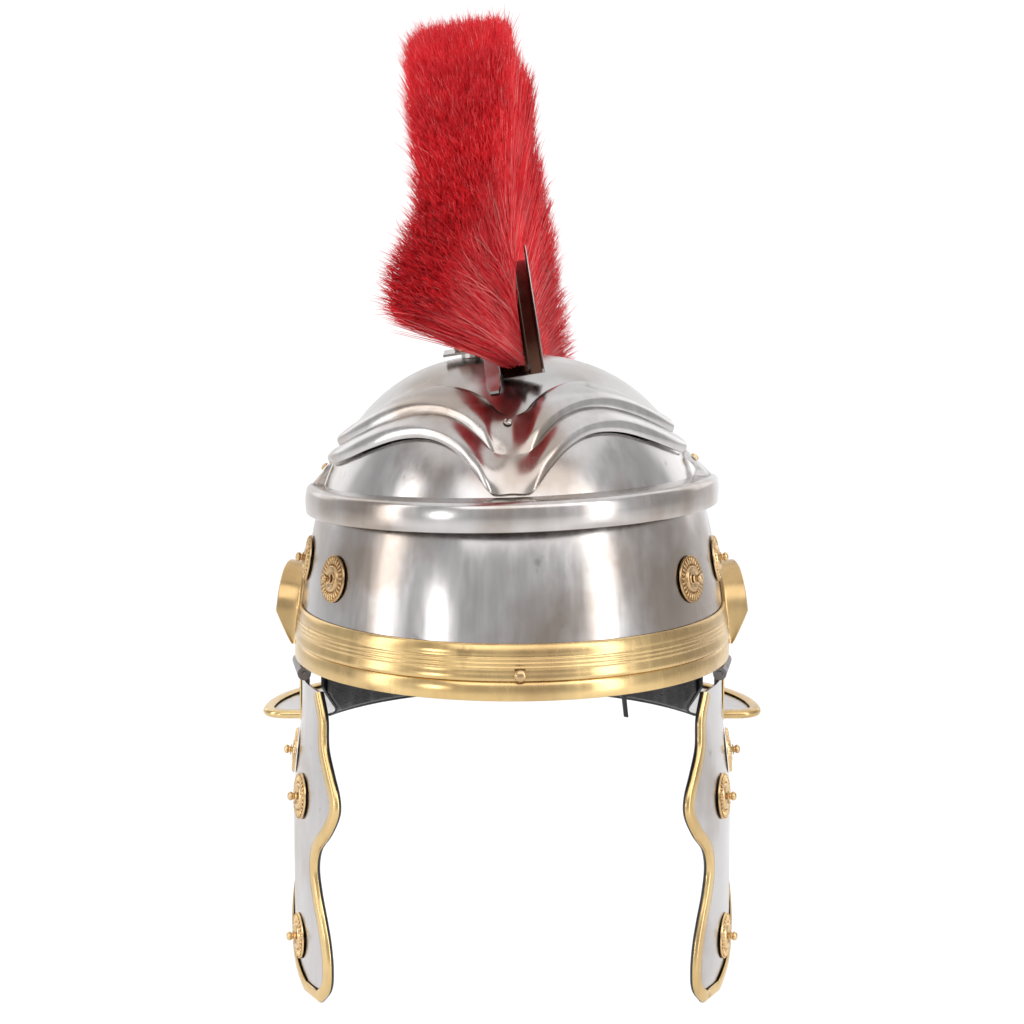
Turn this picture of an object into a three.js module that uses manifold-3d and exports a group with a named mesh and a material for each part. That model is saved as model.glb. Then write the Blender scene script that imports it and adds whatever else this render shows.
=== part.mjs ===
// A Roman legionary's helmet of Imperial-Gallic form, in polished steel with brass mounts,
// black leather lining, hinged cheek guards and a red hair crest.
// Millimetres, +Z up, the brow faces -Y. The origin is the middle of the head opening,
// in the plane of the front rim.
import * as THREE from 'three';
import { mergeVertices } from 'three/addons/utils/BufferGeometryUtils.js';
import Module from 'manifold-3d';

const wasm = await Module();
wasm.setup();

// Driving dimensions
const GAP = 0.4; // air left between pieces that touch
const SHEET = 1.2; // steel sheet
const TILT = THREE.MathUtils.degToRad(1.8); // brow fittings sit a little higher on the +X side

const bowl = {
  halfWidth: 105.2, // at the height where the flare ends
  halfLength: 116,
  height: 149.5,
  power: 2.5, // roundness of the crown's side profile
  flare: 3.6, // extra half-width at the rim
  flareTop: 62,
  napeDrop: 48, // from the rim plane to the neck guard
  skirt: 4.5, // radius of the bend from nape to neck guard
  segments: 40,
};
const ear = { middle: 24, halfWidth: 21, springing: 19 }; // opening over each ear, seen from the side
const nape = { front: 45, slantTop: -30, corner: 61 }; // front edge of the nape wall, seen from the side
const neckGuard = { front: 61, halfWidth: 133, rear: 180, cornerRadius: 12 };
const browGuard = {
  front: 120, // reach ahead of the origin
  halfWidth: 103.5,
  top: 91.7,
  height: 14,
  droop: 4, // the ends lie lower than the middle
  tabRise: 14, // the flange turns up against the bowl beyond the brow plate
  tabStart: 1.5, // degrees beyond the brow plate
  tabFull: 5,
  tabEnd: 9,
};
const browBand = { bottom: 8.2, top: 25.4, ribs: 3, thickness: 0.9, relief: 1.3, end: 87.5 };
const rimEdging = { top: 7.9, thickness: 0.9, end: 87.5 };
const earGuard = { foot: 7, reach: 13.5, thickness: 1, lowest: 2 };
const rosette = { radius: 11.6, hole: 1.7, thickness: 0.9, relief: 2.2 };
const knob = { shank: 1.35, collar: 2.6, ball: 2.3, height: 6.6 };
const hinge = {
  y: -20, // middle of the hinge, ahead of the ear
  length: 36,
  middle: 11.8, // length of the knuckle on the cheek guard
  radius: 3.4,
  pin: 1.3,
  axisDrop: 5.5, // pin below the rim
  leaf: 1,
  leafRise: 8,
  seat: 1.2, // further in, clear of the wall's lean
  cheekLeafWidth: 18, // leaf on the cheek guard
  cheekLeafLength: 17,
};
const cheek = { width: 111, topWidth: 105.95, length: 122, thickness: SHEET, rows: 15, columns: 7 };
const edging = { depth: 4.6, thickness: 0.8 };
const crest = {
  x: 5, // the crest's foot, beside the middle line
  z: 146,
  roll: THREE.MathUtils.degToRad(-9), // leans towards -X
  centreY: 22, // centre of the channel's arc, in the crest's own frame
  centreZ: -27,
  radius: 75,
  frontAngle: -71,
  rearAngle: 103,
  halfWidth: 10.8,
  wallHeight: 8.5,
  hairRadius: 199,
};
const thong = { angle: 143.4, width: 3.5, thickness: 1.2, top: -30, bottom: -57 };
const lining = { top: 34, thickness: 1.5, from: 114, rise: 12 }; // from: degrees round from the front

// Outline of a cheek guard: height, and how far its front and rear edges lie from the origin along Y
const cheekOutline = [
  { z: -10.6, front: -57, rear: 1 },
  { z: -22, front: -62.5, rear: 3 },
  { z: -36, front: -65, rear: 13 },
  { z: -48, front: -72, rear: 27 },
  { z: -58, front: -77.5, rear: 33 },
  { z: -67, front: -78.5, rear: 35 },
  { z: -78, front: -73, rear: 36 },
  { z: -88, front: -64, rear: 35 },
  { z: -98, front: -61, rear: 32 },
  { z: -110, front: -63.5, rear: 26 },
  { z: -122, front: -68, rear: 17 },
  { z: -134, front: -71.5, rear: 4 },
  { z: -147, front: -73, rear: -13 },
  { z: -157, front: -71.5, rear: -30 },
  { z: -164, front: -65, rear: -48 },
];

// Embossed brow plate: degrees round from the front, and the heights of its edges on the bowl
const browPlateOutline = [
  { angle: 0, lower: 93.6, upper: 126.5 },
  { angle: 5.5, lower: 93.6, upper: 129 },
  { angle: 8, lower: 97, upper: 131.5 },
  { angle: 12, lower: 104, upper: 134.5 },
  { angle: 18, lower: 111.5, upper: 137 },
  { angle: 25, lower: 116, upper: 138.6 },
  { angle: 33, lower: 117.6, upper: 139.4 },
  { angle: 43, lower: 116, upper: 139 },
  { angle: 54, lower: 111, upper: 135.6 },
  { angle: 64, lower: 105.5, upper: 129.6 },
  { angle: 74, lower: 101, upper: 122.5 },
  { angle: 82, lower: 99, upper: 117 },
];
const browPlate = { from: -82, to: 76, relief: 3.4, thickness: 1, seat: 0.3, columns: 27, rows: 6 };

// Tips of the crest's hair: degrees along the arc from its top, sideways place and half-width
const hairTips = [
  { angle: -71, centre: -44, halfWidth: 13 },
  { angle: -62, centre: -30, halfWidth: 15 },
  { angle: -50, centre: -17, halfWidth: 18 },
  { angle: -36, centre: -10, halfWidth: 23 },
  { angle: -18, centre: -3, halfWidth: 27 },
  { angle: 0, centre: 0, halfWidth: 26 },
  { angle: 40, centre: -2, halfWidth: 25 },
  { angle: 62, centre: 0, halfWidth: 28 },
  { angle: 103, centre: 0, halfWidth: 28 },
];

// Finishes
const finish = (color, roughness, metalness) => new THREE.MeshStandardMaterial({ color, roughness, metalness });
const steel = () => finish(0x9c9ca0, 0.28, 1);
const brass = () => finish(0xc79a4b, 0.35, 1);
const leather = () => finish(0x262425, 0.6, 0);
const core = () => finish(0x5a3a24, 0.7, 0);
const hair = () => finish(0xb81522, 0.8, 0);

const helmet = new THREE.Group();
const { degToRad, radToDeg, smoothstep } = THREE.MathUtils;
const V = (x, y, z) => new THREE.Vector3(x, y, z);

// Adds a named piece to a group
function add(group, name, geometry, material) {
  const mesh = new THREE.Mesh(geometry, material);
  mesh.name = name;
  group.add(mesh);
  return mesh;
}

// Reads a column of a table at a place between its rows, along a smooth curve
function column(table, key, name, at) {
  const last = table.length - 1;
  const rising = table[last][key] > table[0][key];
  let i = 0;
  while (i < last - 1 && (rising ? at > table[i + 1][key] : at < table[i + 1][key])) i += 1;
  const a = table[Math.max(i - 1, 0)];
  const b = table[i];
  const c = table[i + 1];
  const d = table[Math.min(i + 2, last)];
  const t = THREE.MathUtils.clamp((at - b[key]) / (c[key] - b[key]), 0, 1);
  const slopeB = ((c[name] - a[name]) / (c[key] - a[key])) * (c[key] - b[key]);
  const slopeC = ((d[name] - b[name]) / (d[key] - b[key])) * (c[key] - b[key]);
  const s = t * t;
  const u = s * t;
  return (2 * u - 3 * s + 1) * b[name] + (u - 2 * s + t) * slopeB
    + (3 * s - 2 * u) * c[name] + (u - s) * slopeC;
}

// Welds a mesh, drops its empty triangles and turns it outwards
function weld(geometry) {
  const bare = new THREE.BufferGeometry();
  bare.setAttribute('position', geometry.getAttribute('position').clone());
  if (geometry.index) bare.setIndex(geometry.index.clone());
  const merged = mergeVertices(bare, 1e-4);
  const old = merged.index.array;
  const position = merged.getAttribute('position');
  const kept = [];
  let volume = 0;
  const a = V(0, 0, 0);
  const b = V(0, 0, 0);
  const c = V(0, 0, 0);
  for (let i = 0; i < old.length; i += 3) {
    const [p, q, r] = [old[i], old[i + 1], old[i + 2]];
    if (p !== q && q !== r && r !== p) {
      kept.push(p, q, r);
      a.fromBufferAttribute(position, p);
      b.fromBufferAttribute(position, q);
      c.fromBufferAttribute(position, r);
      volume += a.dot(b.cross(c));
    }
  }
  if (volume < 0) kept.reverse();
  merged.setIndex(kept);
  return merged;
}

// A closed body through a row of cross-sections, each a closed loop of the same number of points
function loft(loops, { ring = false } = {}) {
  const count = loops[0].length;
  const points = loops.flat();
  const index = [];
  const spans = ring ? loops.length : loops.length - 1;
  for (let i = 0; i < spans; i += 1) {
    const here = i * count;
    const next = ((i + 1) % loops.length) * count;
    for (let j = 0; j < count; j += 1) {
      const k = (j + 1) % count;
      index.push(here + j, next + j, next + k, here + j, next + k, here + k);
    }
  }
  if (!ring) {
    for (const [row, flip] of [[0, true], [loops.length - 1, false]]) {
      for (const [p, q, r] of cap(loops[row])) {
        const face = flip ? [p, q, r] : [r, q, p];
        index.push(...face.map((n) => row * count + n));
      }
    }
  }
  const geometry = new THREE.BufferGeometry().setFromPoints(points);
  geometry.setIndex(index);
  return weld(geometry);
}

// Triangles of a flat loop, wound as the loop is
function cap(loop) {
  const normal = V(0, 0, 0);
  loop.forEach((p, i) => normal.add(p.clone().cross(loop[(i + 1) % loop.length])));
  if (normal.length() < 1e-6) return [];
  normal.normalize();
  const across = Math.abs(normal.z) > 0.9 ? V(1, 0, 0) : V(0, 0, 1);
  const e1 = across.cross(normal).normalize();
  const e2 = normal.clone().cross(e1);
  const flat = loop.map((p) => new THREE.Vector2(p.dot(e1), p.dot(e2)));
  return THREE.ShapeUtils.triangulateShape(flat, []);
}

// A wall between an outer and an inner face, both functions of two numbers from 0 to 1
function wall(columns, rows, outer, inner) {
  const points = [];
  const index = [];
  const size = (columns + 1) * (rows + 1);
  for (const face of [outer, inner]) {
    for (let j = 0; j <= rows; j += 1) {
      for (let i = 0; i <= columns; i += 1) points.push(face(i / columns, j / rows));
    }
  }
  const quad = (a, b, c, d) => index.push(a, b, c, a, c, d);
  const at = (i, j, layer = 0) => layer * size + j * (columns + 1) + i;
  for (let j = 0; j < rows; j += 1) {
    for (let i = 0; i < columns; i += 1) {
      quad(at(i, j), at(i + 1, j), at(i + 1, j + 1), at(i, j + 1));
      quad(at(i, j, 1), at(i, j + 1, 1), at(i + 1, j + 1, 1), at(i + 1, j, 1));
    }
    quad(at(0, j), at(0, j + 1), at(0, j + 1, 1), at(0, j, 1));
    quad(at(columns, j), at(columns, j, 1), at(columns, j + 1, 1), at(columns, j + 1));
  }
  for (let i = 0; i < columns; i += 1) {
    quad(at(i, 0), at(i, 0, 1), at(i + 1, 0, 1), at(i + 1, 0));
    quad(at(i, rows), at(i + 1, rows), at(i + 1, rows, 1), at(i, rows, 1));
  }
  const geometry = new THREE.BufferGeometry().setFromPoints(points);
  geometry.setIndex(index);
  return weld(geometry);
}

// A turned piece whose axis runs along a direction, standing at a place
function turned(profile, segments, place, direction) {
  const geometry = new THREE.LatheGeometry(profile.map(([r, h]) => new THREE.Vector2(r, h)), segments);
  const turn = new THREE.Quaternion().setFromUnitVectors(V(0, 1, 0), direction.clone().normalize());
  geometry.applyQuaternion(turn);
  geometry.translate(place.x, place.y, place.z);
  return weld(geometry);
}

// Cutting and joining of closed meshes
function toSolid(geometry) {
  const merged = weld(geometry);
  return new wasm.Manifold(new wasm.Mesh({
    numProp: 3,
    vertProperties: new Float32Array(merged.getAttribute('position').array),
    triVerts: new Uint32Array(merged.index.array),
  }));
}

function fromSolid(solid) {
  const mesh = solid.getMesh();
  const geometry = new THREE.BufferGeometry();
  geometry.setAttribute('position', new THREE.BufferAttribute(new Float32Array(mesh.vertProperties), 3));
  geometry.setIndex(new THREE.BufferAttribute(new Uint32Array(mesh.triVerts), 1));
  return geometry;
}

const join = (...pieces) => fromSolid(pieces.map(toSolid).reduce((a, b) => a.add(b)));
const cut = (piece, ...tools) => fromSolid(tools.map(toSolid).reduce((a, b) => a.subtract(b), toSolid(piece)));

// The bowl's outer face, or a face parallel to it. Angles run round from the front, towards +X
function bowlShare(z, off) {
  const height = bowl.height + off;
  if (z <= 0) return 1;
  return Math.pow(Math.max(1 - Math.pow(z / height, bowl.power), 0), 1 / bowl.power);
}

function bowlAxes(z, off = 0) {
  const share = bowlShare(z, off);
  const flare = z < bowl.flareTop ? bowl.flare * Math.pow(1 - Math.max(z, 0) / bowl.flareTop, 2) : 0;
  const skirtTop = -(bowl.napeDrop - bowl.skirt);
  const bend = Math.min(Math.max(skirtTop - z, 0), bowl.skirt);
  const skirt = bowl.skirt - Math.sqrt(bowl.skirt * bowl.skirt - bend * bend);
  return { a: (bowl.halfWidth + off) * share + flare + skirt, b: (bowl.halfLength + off) * share + flare + skirt };
}

function bowlPoint(degrees, z, off = 0) {
  const { a, b } = bowlAxes(z, off);
  const turn = degToRad(degrees);
  return V(a * Math.sin(turn), -b * Math.cos(turn), z);
}

// Outward direction of the bowl at a place on it
function bowlNormal(degrees, z) {
  const step = 0.5;
  const around = bowlPoint(degrees + step, z).sub(bowlPoint(degrees - step, z));
  const up = bowlPoint(degrees, z + step).sub(bowlPoint(degrees, z - step));
  return around.cross(up).normalize();
}

// Where the bowl's side wall stands, seen along X, at a place along Y and a height
function bowlSide(y, z, off = 0) {
  const { a, b } = bowlAxes(z, off);
  return a * Math.sqrt(Math.max(1 - (y / b) * (y / b), 0));
}

// Loops of the bowl from the crown down to a height, for walls and cutting tools
function bowlLoops(off, lowest, rows, segments) {
  const loops = [];
  for (let i = 0; i <= rows; i += 1) {
    const rise = Math.cos(((i / rows) * Math.PI) / 2);
    const z = (bowl.height + off) * Math.pow(rise, 2 / bowl.power);
    const last = i === rows;
    loops.push(ringLoop(last ? 0 : z, off, segments));
  }
  const { napeDrop, skirt } = bowl;
  const below = [skirt - napeDrop, skirt * 0.6 - napeDrop, skirt * 0.15 - napeDrop];
  for (const z of below.filter((h) => h > lowest)) loops.push(ringLoop(z, off, segments));
  if (lowest < 0) loops.push(ringLoop(lowest, off, segments));
  return loops;
}

function ringLoop(z, off, segments) {
  return Array.from({ length: segments }, (_, i) => bowlPoint((i * 360) / segments, z, off));
}

// Solid filling everything under a face parallel to the bowl, for fitting pieces to it
const bowlFill = (off) => loft(bowlLoops(off, -bowl.napeDrop + bowl.skirt + 1, 12, bowl.segments));

// An outline in the side view, pushed through from one side to the other
function sideCutter(shape, width) {
  const geometry = new THREE.ExtrudeGeometry(shape, { depth: width, bevelEnabled: false, curveSegments: 8 });
  geometry.applyMatrix4(new THREE.Matrix4().makeBasis(V(0, 1, 0), V(0, 0, 1), V(1, 0, 0)));
  geometry.translate(-width / 2, 0, 0);
  return geometry;
}

// Bowl with nape and neck guard, raised from one sheet
function skullBowl() {
  const floor = -bowl.napeDrop - SHEET;
  const outer = bowlLoops(0, floor, 10, bowl.segments);
  const inner = bowlLoops(-SHEET, floor, 7, bowl.segments).reverse();
  const shell = loft([...outer, ...inner]);
  const low = -200;
  const far = -250;
  const away = new THREE.Shape();
  away.moveTo(far, low);
  away.lineTo(far, 0);
  away.lineTo(ear.middle - ear.halfWidth, 0);
  away.lineTo(ear.middle - ear.halfWidth, ear.springing);
  away.absarc(ear.middle, ear.springing, ear.halfWidth, Math.PI, 0, true);
  away.lineTo(nape.front, nape.slantTop);
  away.lineTo(nape.corner, -bowl.napeDrop + 1.5);
  away.lineTo(nape.corner, low);
  const guard = new THREE.ExtrudeGeometry(neckGuardShape(0), { depth: SHEET, bevelEnabled: false, curveSegments: 24 });
  guard.translate(0, 0, floor);
  return join(cut(shell, sideCutter(away, 400)), guard);
}

// Neck guard seen from above, its outer edge moved in by a step
function neckGuardShape(step) {
  const { a, b } = bowlAxes(-bowl.napeDrop, -SHEET / 2);
  const shape = new THREE.Shape();
  const points = neckGuardEdge(18, step);
  points.forEach((p, i) => (i ? shape.lineTo(p.x, p.y) : shape.moveTo(p.x, p.y)));
  const start = Math.asin(neckGuard.front / b);
  const arc = 24;
  for (let i = 0; i <= arc; i += 1) {
    const turn = start + ((Math.PI - 2 * start) * i) / arc;
    shape.lineTo(-a * Math.cos(turn), b * Math.sin(turn));
  }
  return shape;
}

// Edge of the neck guard from its inner corner on +X, round the back, to the one on -X
function neckGuardEdge(count, step = 0) {
  const { a, b } = bowlAxes(-bowl.napeDrop);
  const front = neckGuard.front + step;
  const inner = a * Math.sqrt(1 - (front / b) ** 2) + 1;
  const half = neckGuard.halfWidth - step;
  const depth = neckGuard.rear - step - front;
  const r = neckGuard.cornerRadius;
  const path = new THREE.Path();
  path.moveTo(inner, front);
  path.lineTo(half - r, front);
  path.absarc(half - r, front + r, r, -Math.PI / 2, 0, false);
  const side = path.getSpacedPoints(8);
  const back = [];
  for (let i = 1; i <= count; i += 1) {
    const turn = (Math.PI * i) / (count + 1);
    back.push(new THREE.Vector2(half * Math.cos(turn), front + r + (depth - r) * Math.sin(turn)));
  }
  const mirrored = side.map((p) => new THREE.Vector2(-p.x, p.y)).reverse();
  return [...side, ...back, ...mirrored];
}

// How much higher a brow fitting sits at an angle, because the fittings tilt
const tiltRise = (degrees, z) => Math.tan(TILT) * bowlPoint(degrees, z).x;

// Embossed brow plate: two ridges on each side that sweep up from the middle
function browPlateGeometry() {
  const { from, to, relief, thickness, seat, columns: across, rows } = browPlate;
  const face = (off) => (s, t) => {
    const angle = from + (to - from) * s;
    const lower = column(browPlateOutline, 'angle', 'lower', Math.abs(angle));
    const upper = column(browPlateOutline, 'angle', 'upper', Math.abs(angle));
    const spread = smoothstep(Math.abs(angle), 0, 9);
    const ridge = relief * Math.sin(2 * Math.PI * t) ** 2 * spread;
    const z = lower + (upper - lower) * t;
    return bowlPoint(angle, z + tiltRise(angle, z), GAP + seat + off + ridge);
  };
  return wall(across, rows, face(thickness), face(0));
}

// Lines of the peak at an angle: its root on the bowl and the top of its lip
function browGuardLines(degrees) {
  const { tabRise, tabStart, tabFull, droop, top, front, halfWidth } = browGuard;
  const turn = degToRad(degrees);
  const plateEnd = degrees < 0 ? -browPlate.from : browPlate.to;
  const past = Math.abs(degrees) - plateEnd;
  const rise = tabRise * smoothstep(past, tabStart, tabFull);
  const height = top - droop * (1 - Math.cos(turn)) ** 1.2 + tiltRise(degrees, top);
  const lip = (drop, inset) => V(
    (halfWidth - inset) * Math.sin(turn),
    -(front - inset) * Math.cos(turn),
    height - drop,
  );
  return { root: height + rise, lip };
}

// Peak over the brow: an L-shaped strip whose flange meets the bowl
function browGuardGeometry() {
  const { height, tabStart, tabFull, tabEnd } = browGuard;
  const bend = 2.2;
  const from = browPlate.from - tabEnd;
  const to = browPlate.to + tabEnd;
  const ends = [0, tabEnd - tabFull, tabEnd - (tabFull + tabStart) / 2, tabEnd - tabStart];
  const steps = 22;
  const inner = tabEnd * 1.6;
  const middle = Array.from({ length: steps + 1 }, (_, i) => from + inner + ((to - from - inner * 2) * i) / steps);
  const stations = [...ends.map((d) => from + d), ...middle, ...ends.map((d) => to - d).reverse()];
  const loops = stations.map((degrees) => {
    const { root, lip } = browGuardLines(degrees);
    return [
      bowlPoint(degrees, root, GAP),
      lip(0.2, bend),
      lip(bend, 0),
      lip(height, 0),
      lip(height, SHEET),
      lip(bend + SHEET, SHEET),
      lip(SHEET + 0.4, bend + SHEET),
      bowlPoint(degrees, root - SHEET, GAP),
    ];
  });
  return loft(loops);
}

// A strip that lies on the bowl, its cross-section given as steps outward and heights
function bowlStrip(section, end, stations) {
  const loops = [];
  for (let i = 0; i <= stations; i += 1) {
    const degrees = (i / stations) * 2 * end - end;
    loops.push(section.map(([off, z]) => bowlPoint(degrees, z, off)));
  }
  return loft(loops);
}

function browBandSection() {
  const { bottom, top, ribs, thickness, relief } = browBand;
  const pitch = (top - bottom) / ribs;
  const section = [[GAP, top], [GAP, bottom]];
  for (let i = 0; i < ribs; i += 1) {
    const low = bottom + i * pitch;
    section.push([GAP + thickness, low], [GAP + thickness + relief, low + pitch * 0.3]);
    section.push([GAP + thickness + relief, low + pitch * 0.7]);
  }
  section.push([GAP + thickness, top]);
  return section;
}

function rimEdgingSection() {
  const { top, thickness } = rimEdging;
  return [
    [GAP, top], [GAP, -GAP], [-SHEET, -GAP], [-SHEET, -GAP - thickness],
    [GAP + thickness * 0.5, -GAP - thickness], [GAP + thickness, -GAP], [GAP + thickness, top],
  ];
}

// Flange over one ear: a foot that lies on the bowl and a lip that stands out
function earGuardGeometry(side) {
  const { foot, reach, thickness, lowest } = earGuard;
  const inner = ear.halfWidth + GAP;
  const places = [];
  const legs = 3;
  const arcs = 12;
  for (let i = 0; i < legs; i += 1) {
    places.push({ turn: Math.PI, rise: lowest + ((ear.springing - lowest) * i) / legs, share: (i + 1) / (legs + 1) });
  }
  for (let i = 0; i <= arcs; i += 1) {
    places.push({ turn: Math.PI * (1 - i / arcs), rise: ear.springing, share: 1 });
  }
  for (let i = legs - 1; i >= 0; i -= 1) {
    places.push({ turn: 0, rise: lowest + ((ear.springing - lowest) * i) / legs, share: (i + 1) / (legs + 1) });
  }
  const loops = places.map(({ turn, rise, share }) => {
    const at = (radius, off) => {
      const y = ear.middle + radius * Math.cos(turn);
      const z = rise + radius * Math.sin(turn);
      return V(side * (bowlSide(y, z) + off), y, z);
    };
    const lip = 4 + (reach - 4) * Math.sqrt(share);
    return [
      at(inner, GAP), at(inner + foot, GAP), at(inner + foot, GAP + thickness),
      at(inner + thickness, GAP + thickness), at(inner + thickness, lip), at(inner, lip),
    ];
  });
  return loft(loops);
}

// A domed brass disc with a hole for its rivet
const rosetteProfile = [
  [rosette.hole, 0], [rosette.radius, 0], [rosette.radius, rosette.thickness],
  [rosette.radius * 0.6, rosette.relief],
  [rosette.hole, rosette.relief], [rosette.hole, 0],
];
const knobProfile = [
  [0, 0], [knob.shank, 0], [knob.shank, rosette.relief + GAP], [knob.collar, rosette.relief + GAP],
  [knob.ball * 0.62, rosette.relief + 1.6], [knob.ball, rosette.relief + 3], [0, knob.height],
];

// A rosette and the knobbed rivet that holds it
function addRosette(group, name, place, direction) {
  const foot = place.clone().addScaledVector(direction, GAP);
  add(group, name, turned(rosetteProfile, 10, foot, direction), brass());
  add(group, `${name}_knob`, turned(knobProfile, 5, foot, direction), brass());
}

// A small domed rivet head
function rivet(group, name, place, direction, radius, material) {
  const profile = [[0, 0], [radius, 0], [radius * 0.85, radius * 0.35], [radius * 0.4, radius * 0.6], [0, radius * 0.66]];
  add(group, name, turned(profile, 8, place.clone().addScaledVector(direction, GAP), direction), material);
}

// A folded brass strip over the edge of a sheet. Each place on the edge has a point on the sheet's
// middle and the sheet's normal; the strip's legs reach inwards from the edge
function foldedEdging(places, half, inward) {
  const { depth, thickness } = edging;
  const last = places.length - 1;
  const loops = places.map(({ point, normal }, i) => {
    const before = places[Math.max(i - 1, 0)];
    const after = places[Math.min(i + 1, last)];
    const arrive = point.clone().sub(before.point);
    const leave = after.point.clone().sub(point);
    if (arrive.length() < 1e-6) arrive.copy(leave);
    if (leave.length() < 1e-6) leave.copy(arrive);
    const d1 = normal.clone().cross(arrive.normalize()).multiplyScalar(inward).normalize();
    const d2 = normal.clone().cross(leave.normalize()).multiplyScalar(inward).normalize();
    const miter = d1.clone().add(d2).divideScalar(1 + d1.dot(d2));
    const at = (out, deep) => point.clone().addScaledVector(normal, out).addScaledVector(miter, deep);
    const face = half + GAP + 0.35; // the sheet bends under the legs
    return [
      at(-face - thickness, depth), at(-face - thickness * 0.5, -GAP - thickness),
      at(face + thickness * 0.5, -GAP - thickness), at(face + thickness, depth),
      at(face, depth), at(face, -GAP), at(-face, -GAP), at(-face, depth),
    ];
  });
  return loft(loops);
}

// A point on a cheek guard's curved sheet
function cheekPoint(side, y, z, off = 0) {
  const top = cheekOutline[0].z;
  const swell = smoothstep(top - z, 6, 70);
  const width = cheek.topWidth + (cheek.width - cheek.topWidth) * swell + off;
  return V(side * width * Math.sqrt(1 - (y / (cheek.length + off)) ** 2), y, z);
}

function cheekNormal(side, y, z) {
  const step = 0.5;
  const along = cheekPoint(side, y + step, z).sub(cheekPoint(side, y - step, z));
  const up = cheekPoint(side, y, z + step).sub(cheekPoint(side, y, z - step));
  return along.cross(up).multiplyScalar(side).normalize();
}

const cheekTop = cheekOutline[0].z;
const cheekBottom = cheekOutline[cheekOutline.length - 1].z;
const cheekEdge = (name, z) => column(cheekOutline, 'z', name, z);

function cheekGuardGeometry(side) {
  const face = (off) => (s, t) => {
    const z = cheekTop + (cheekBottom - cheekTop) * t;
    const front = cheekEdge('front', z);
    return cheekPoint(side, front + (cheekEdge('rear', z) - front) * s, z, off);
  };
  return wall(cheek.columns, cheek.rows, face(cheek.thickness / 2), face(-cheek.thickness / 2));
}

function cheekTrimGeometry(side) {
  const places = [];
  const put = (y, z) => places.push({ point: cheekPoint(side, y, z), normal: cheekNormal(side, y, z) });
  const steps = cheek.rows;
  const height = (i) => cheekTop + ((cheekBottom - cheekTop) * i) / steps;
  for (let i = 0; i <= steps; i += 1) put(cheekEdge('front', height(i)), height(i));
  for (let i = steps; i >= 0; i -= 1) put(cheekEdge('rear', height(i)), height(i));
  return foldedEdging(places, cheek.thickness / 2, side);
}

function neckTrimGeometry() {
  const z = -bowl.napeDrop - SHEET / 2;
  const edge = neckGuardEdge(18).map((p) => V(p.x, p.y, z));
  edge[0].x += 3;
  edge[edge.length - 1].x -= 3;
  const places = edge.map((point) => ({ point, normal: V(0, 0, 1) }));
  return foldedEdging(places, SHEET / 2, 1);
}

// Hinges are laid out in a frame of their own: outward, rearward along the pin, and up
function hingeFrame(side) {
  const { y } = hinge;
  const inside = bowlAxes(0, -SHEET);
  const x = bowlSide(y, 0, -SHEET);
  const out = V(side * (x / inside.a ** 2), y / inside.b ** 2, 0).normalize();
  const along = V(-side * out.y, side * out.x, 0);
  const curve = inside.b ** 2 / inside.a;
  const leafFace = -((hinge.length / 2) ** 2) / (2 * curve) - GAP - hinge.seat;
  const axisOut = leafFace - hinge.leaf + hinge.radius;
  const matrix = new THREE.Matrix4().makeBasis(out, along, V(0, 0, 1));
  matrix.setPosition(V(side * x, y, -hinge.axisDrop));
  return { matrix, leafFace, axisOut };
}

// A box in the hinge's frame, between two corners
function block(low, high) {
  const size = high.map((v, i) => v - low[i]);
  const geometry = new THREE.BoxGeometry(...size);
  geometry.translate(...high.map((v, i) => (v + low[i]) / 2));
  return geometry;
}

// A round bar along the hinge's pin
function bar(radius, from, to, out, sides) {
  const geometry = new THREE.CylinderGeometry(radius, radius, to - from, sides);
  geometry.translate(out, (from + to) / 2, 0);
  return geometry;
}

function hingePieces(side) {
  const { matrix, leafFace, axisOut } = hingeFrame(side);
  const { length, middle, radius, pin, leaf, leafRise, axisDrop, cheekLeafWidth, cheekLeafLength } = hinge;
  const bore = bar(pin + 0.16, -length, length, axisOut, 10);
  const inner = leafFace - leaf;
  const end = length / 2;
  const mid = middle / 2;
  const clear = mid + GAP;
  const fixedLeaf = join(
    block([inner, -end, radius + 0.8], [leafFace, end, axisDrop + leafRise]),
    block([inner, -end, 0], [leafFace, -clear, radius + 1.5]),
    block([inner, clear, 0], [leafFace, end, radius + 1.5]),
    bar(radius, -end, -clear, axisOut, 12),
    bar(radius, clear, end, axisOut, 12),
  );
  const cheekLeaf = join(
    block([inner, -cheekLeafWidth / 2, -radius - cheekLeafLength], [leafFace, cheekLeafWidth / 2, -radius - 0.8]),
    block([inner, -mid, -radius - 1.5], [leafFace, mid, 0]),
    bar(radius, -mid, mid, axisOut, 12),
  );
  const place = (geometry) => weld(geometry.applyMatrix4(matrix));
  return {
    fixedLeaf: place(cut(fixedLeaf, bore)),
    cheekLeaf: place(cut(cheekLeaf, bore)),
    pin: place(bar(pin, -end - 0.8, end + 0.8, axisOut, 10)),
  };
}

// The crest stands in a group of its own, leaning over
const crestGroup = new THREE.Group();
crestGroup.position.set(crest.x, 0, crest.z);
crestGroup.rotation.y = crest.roll;
crestGroup.updateMatrix();
helmet.add(crestGroup);

// A point of the crest: degrees along its arc from the top, distance from the arc's centre, sideways
function crestPoint(degrees, radius, x) {
  const turn = degToRad(degrees);
  return V(x, crest.centreY + radius * Math.sin(turn), crest.centreZ + radius * Math.cos(turn));
}

// Takes away what would reach into the bowl, plus the usual gap
function fitToBowl(geometry) {
  const fill = bowlFill(GAP).applyMatrix4(crestGroup.matrix.clone().invert());
  return cut(geometry, fill);
}

function crestArc(section, from, to, stations) {
  const loops = [];
  for (let i = 0; i <= stations; i += 1) {
    const angle = from + ((to - from) * i) / stations;
    loops.push(section.map(([radius, x]) => crestPoint(angle, radius, x)));
  }
  return loft(loops);
}

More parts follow.
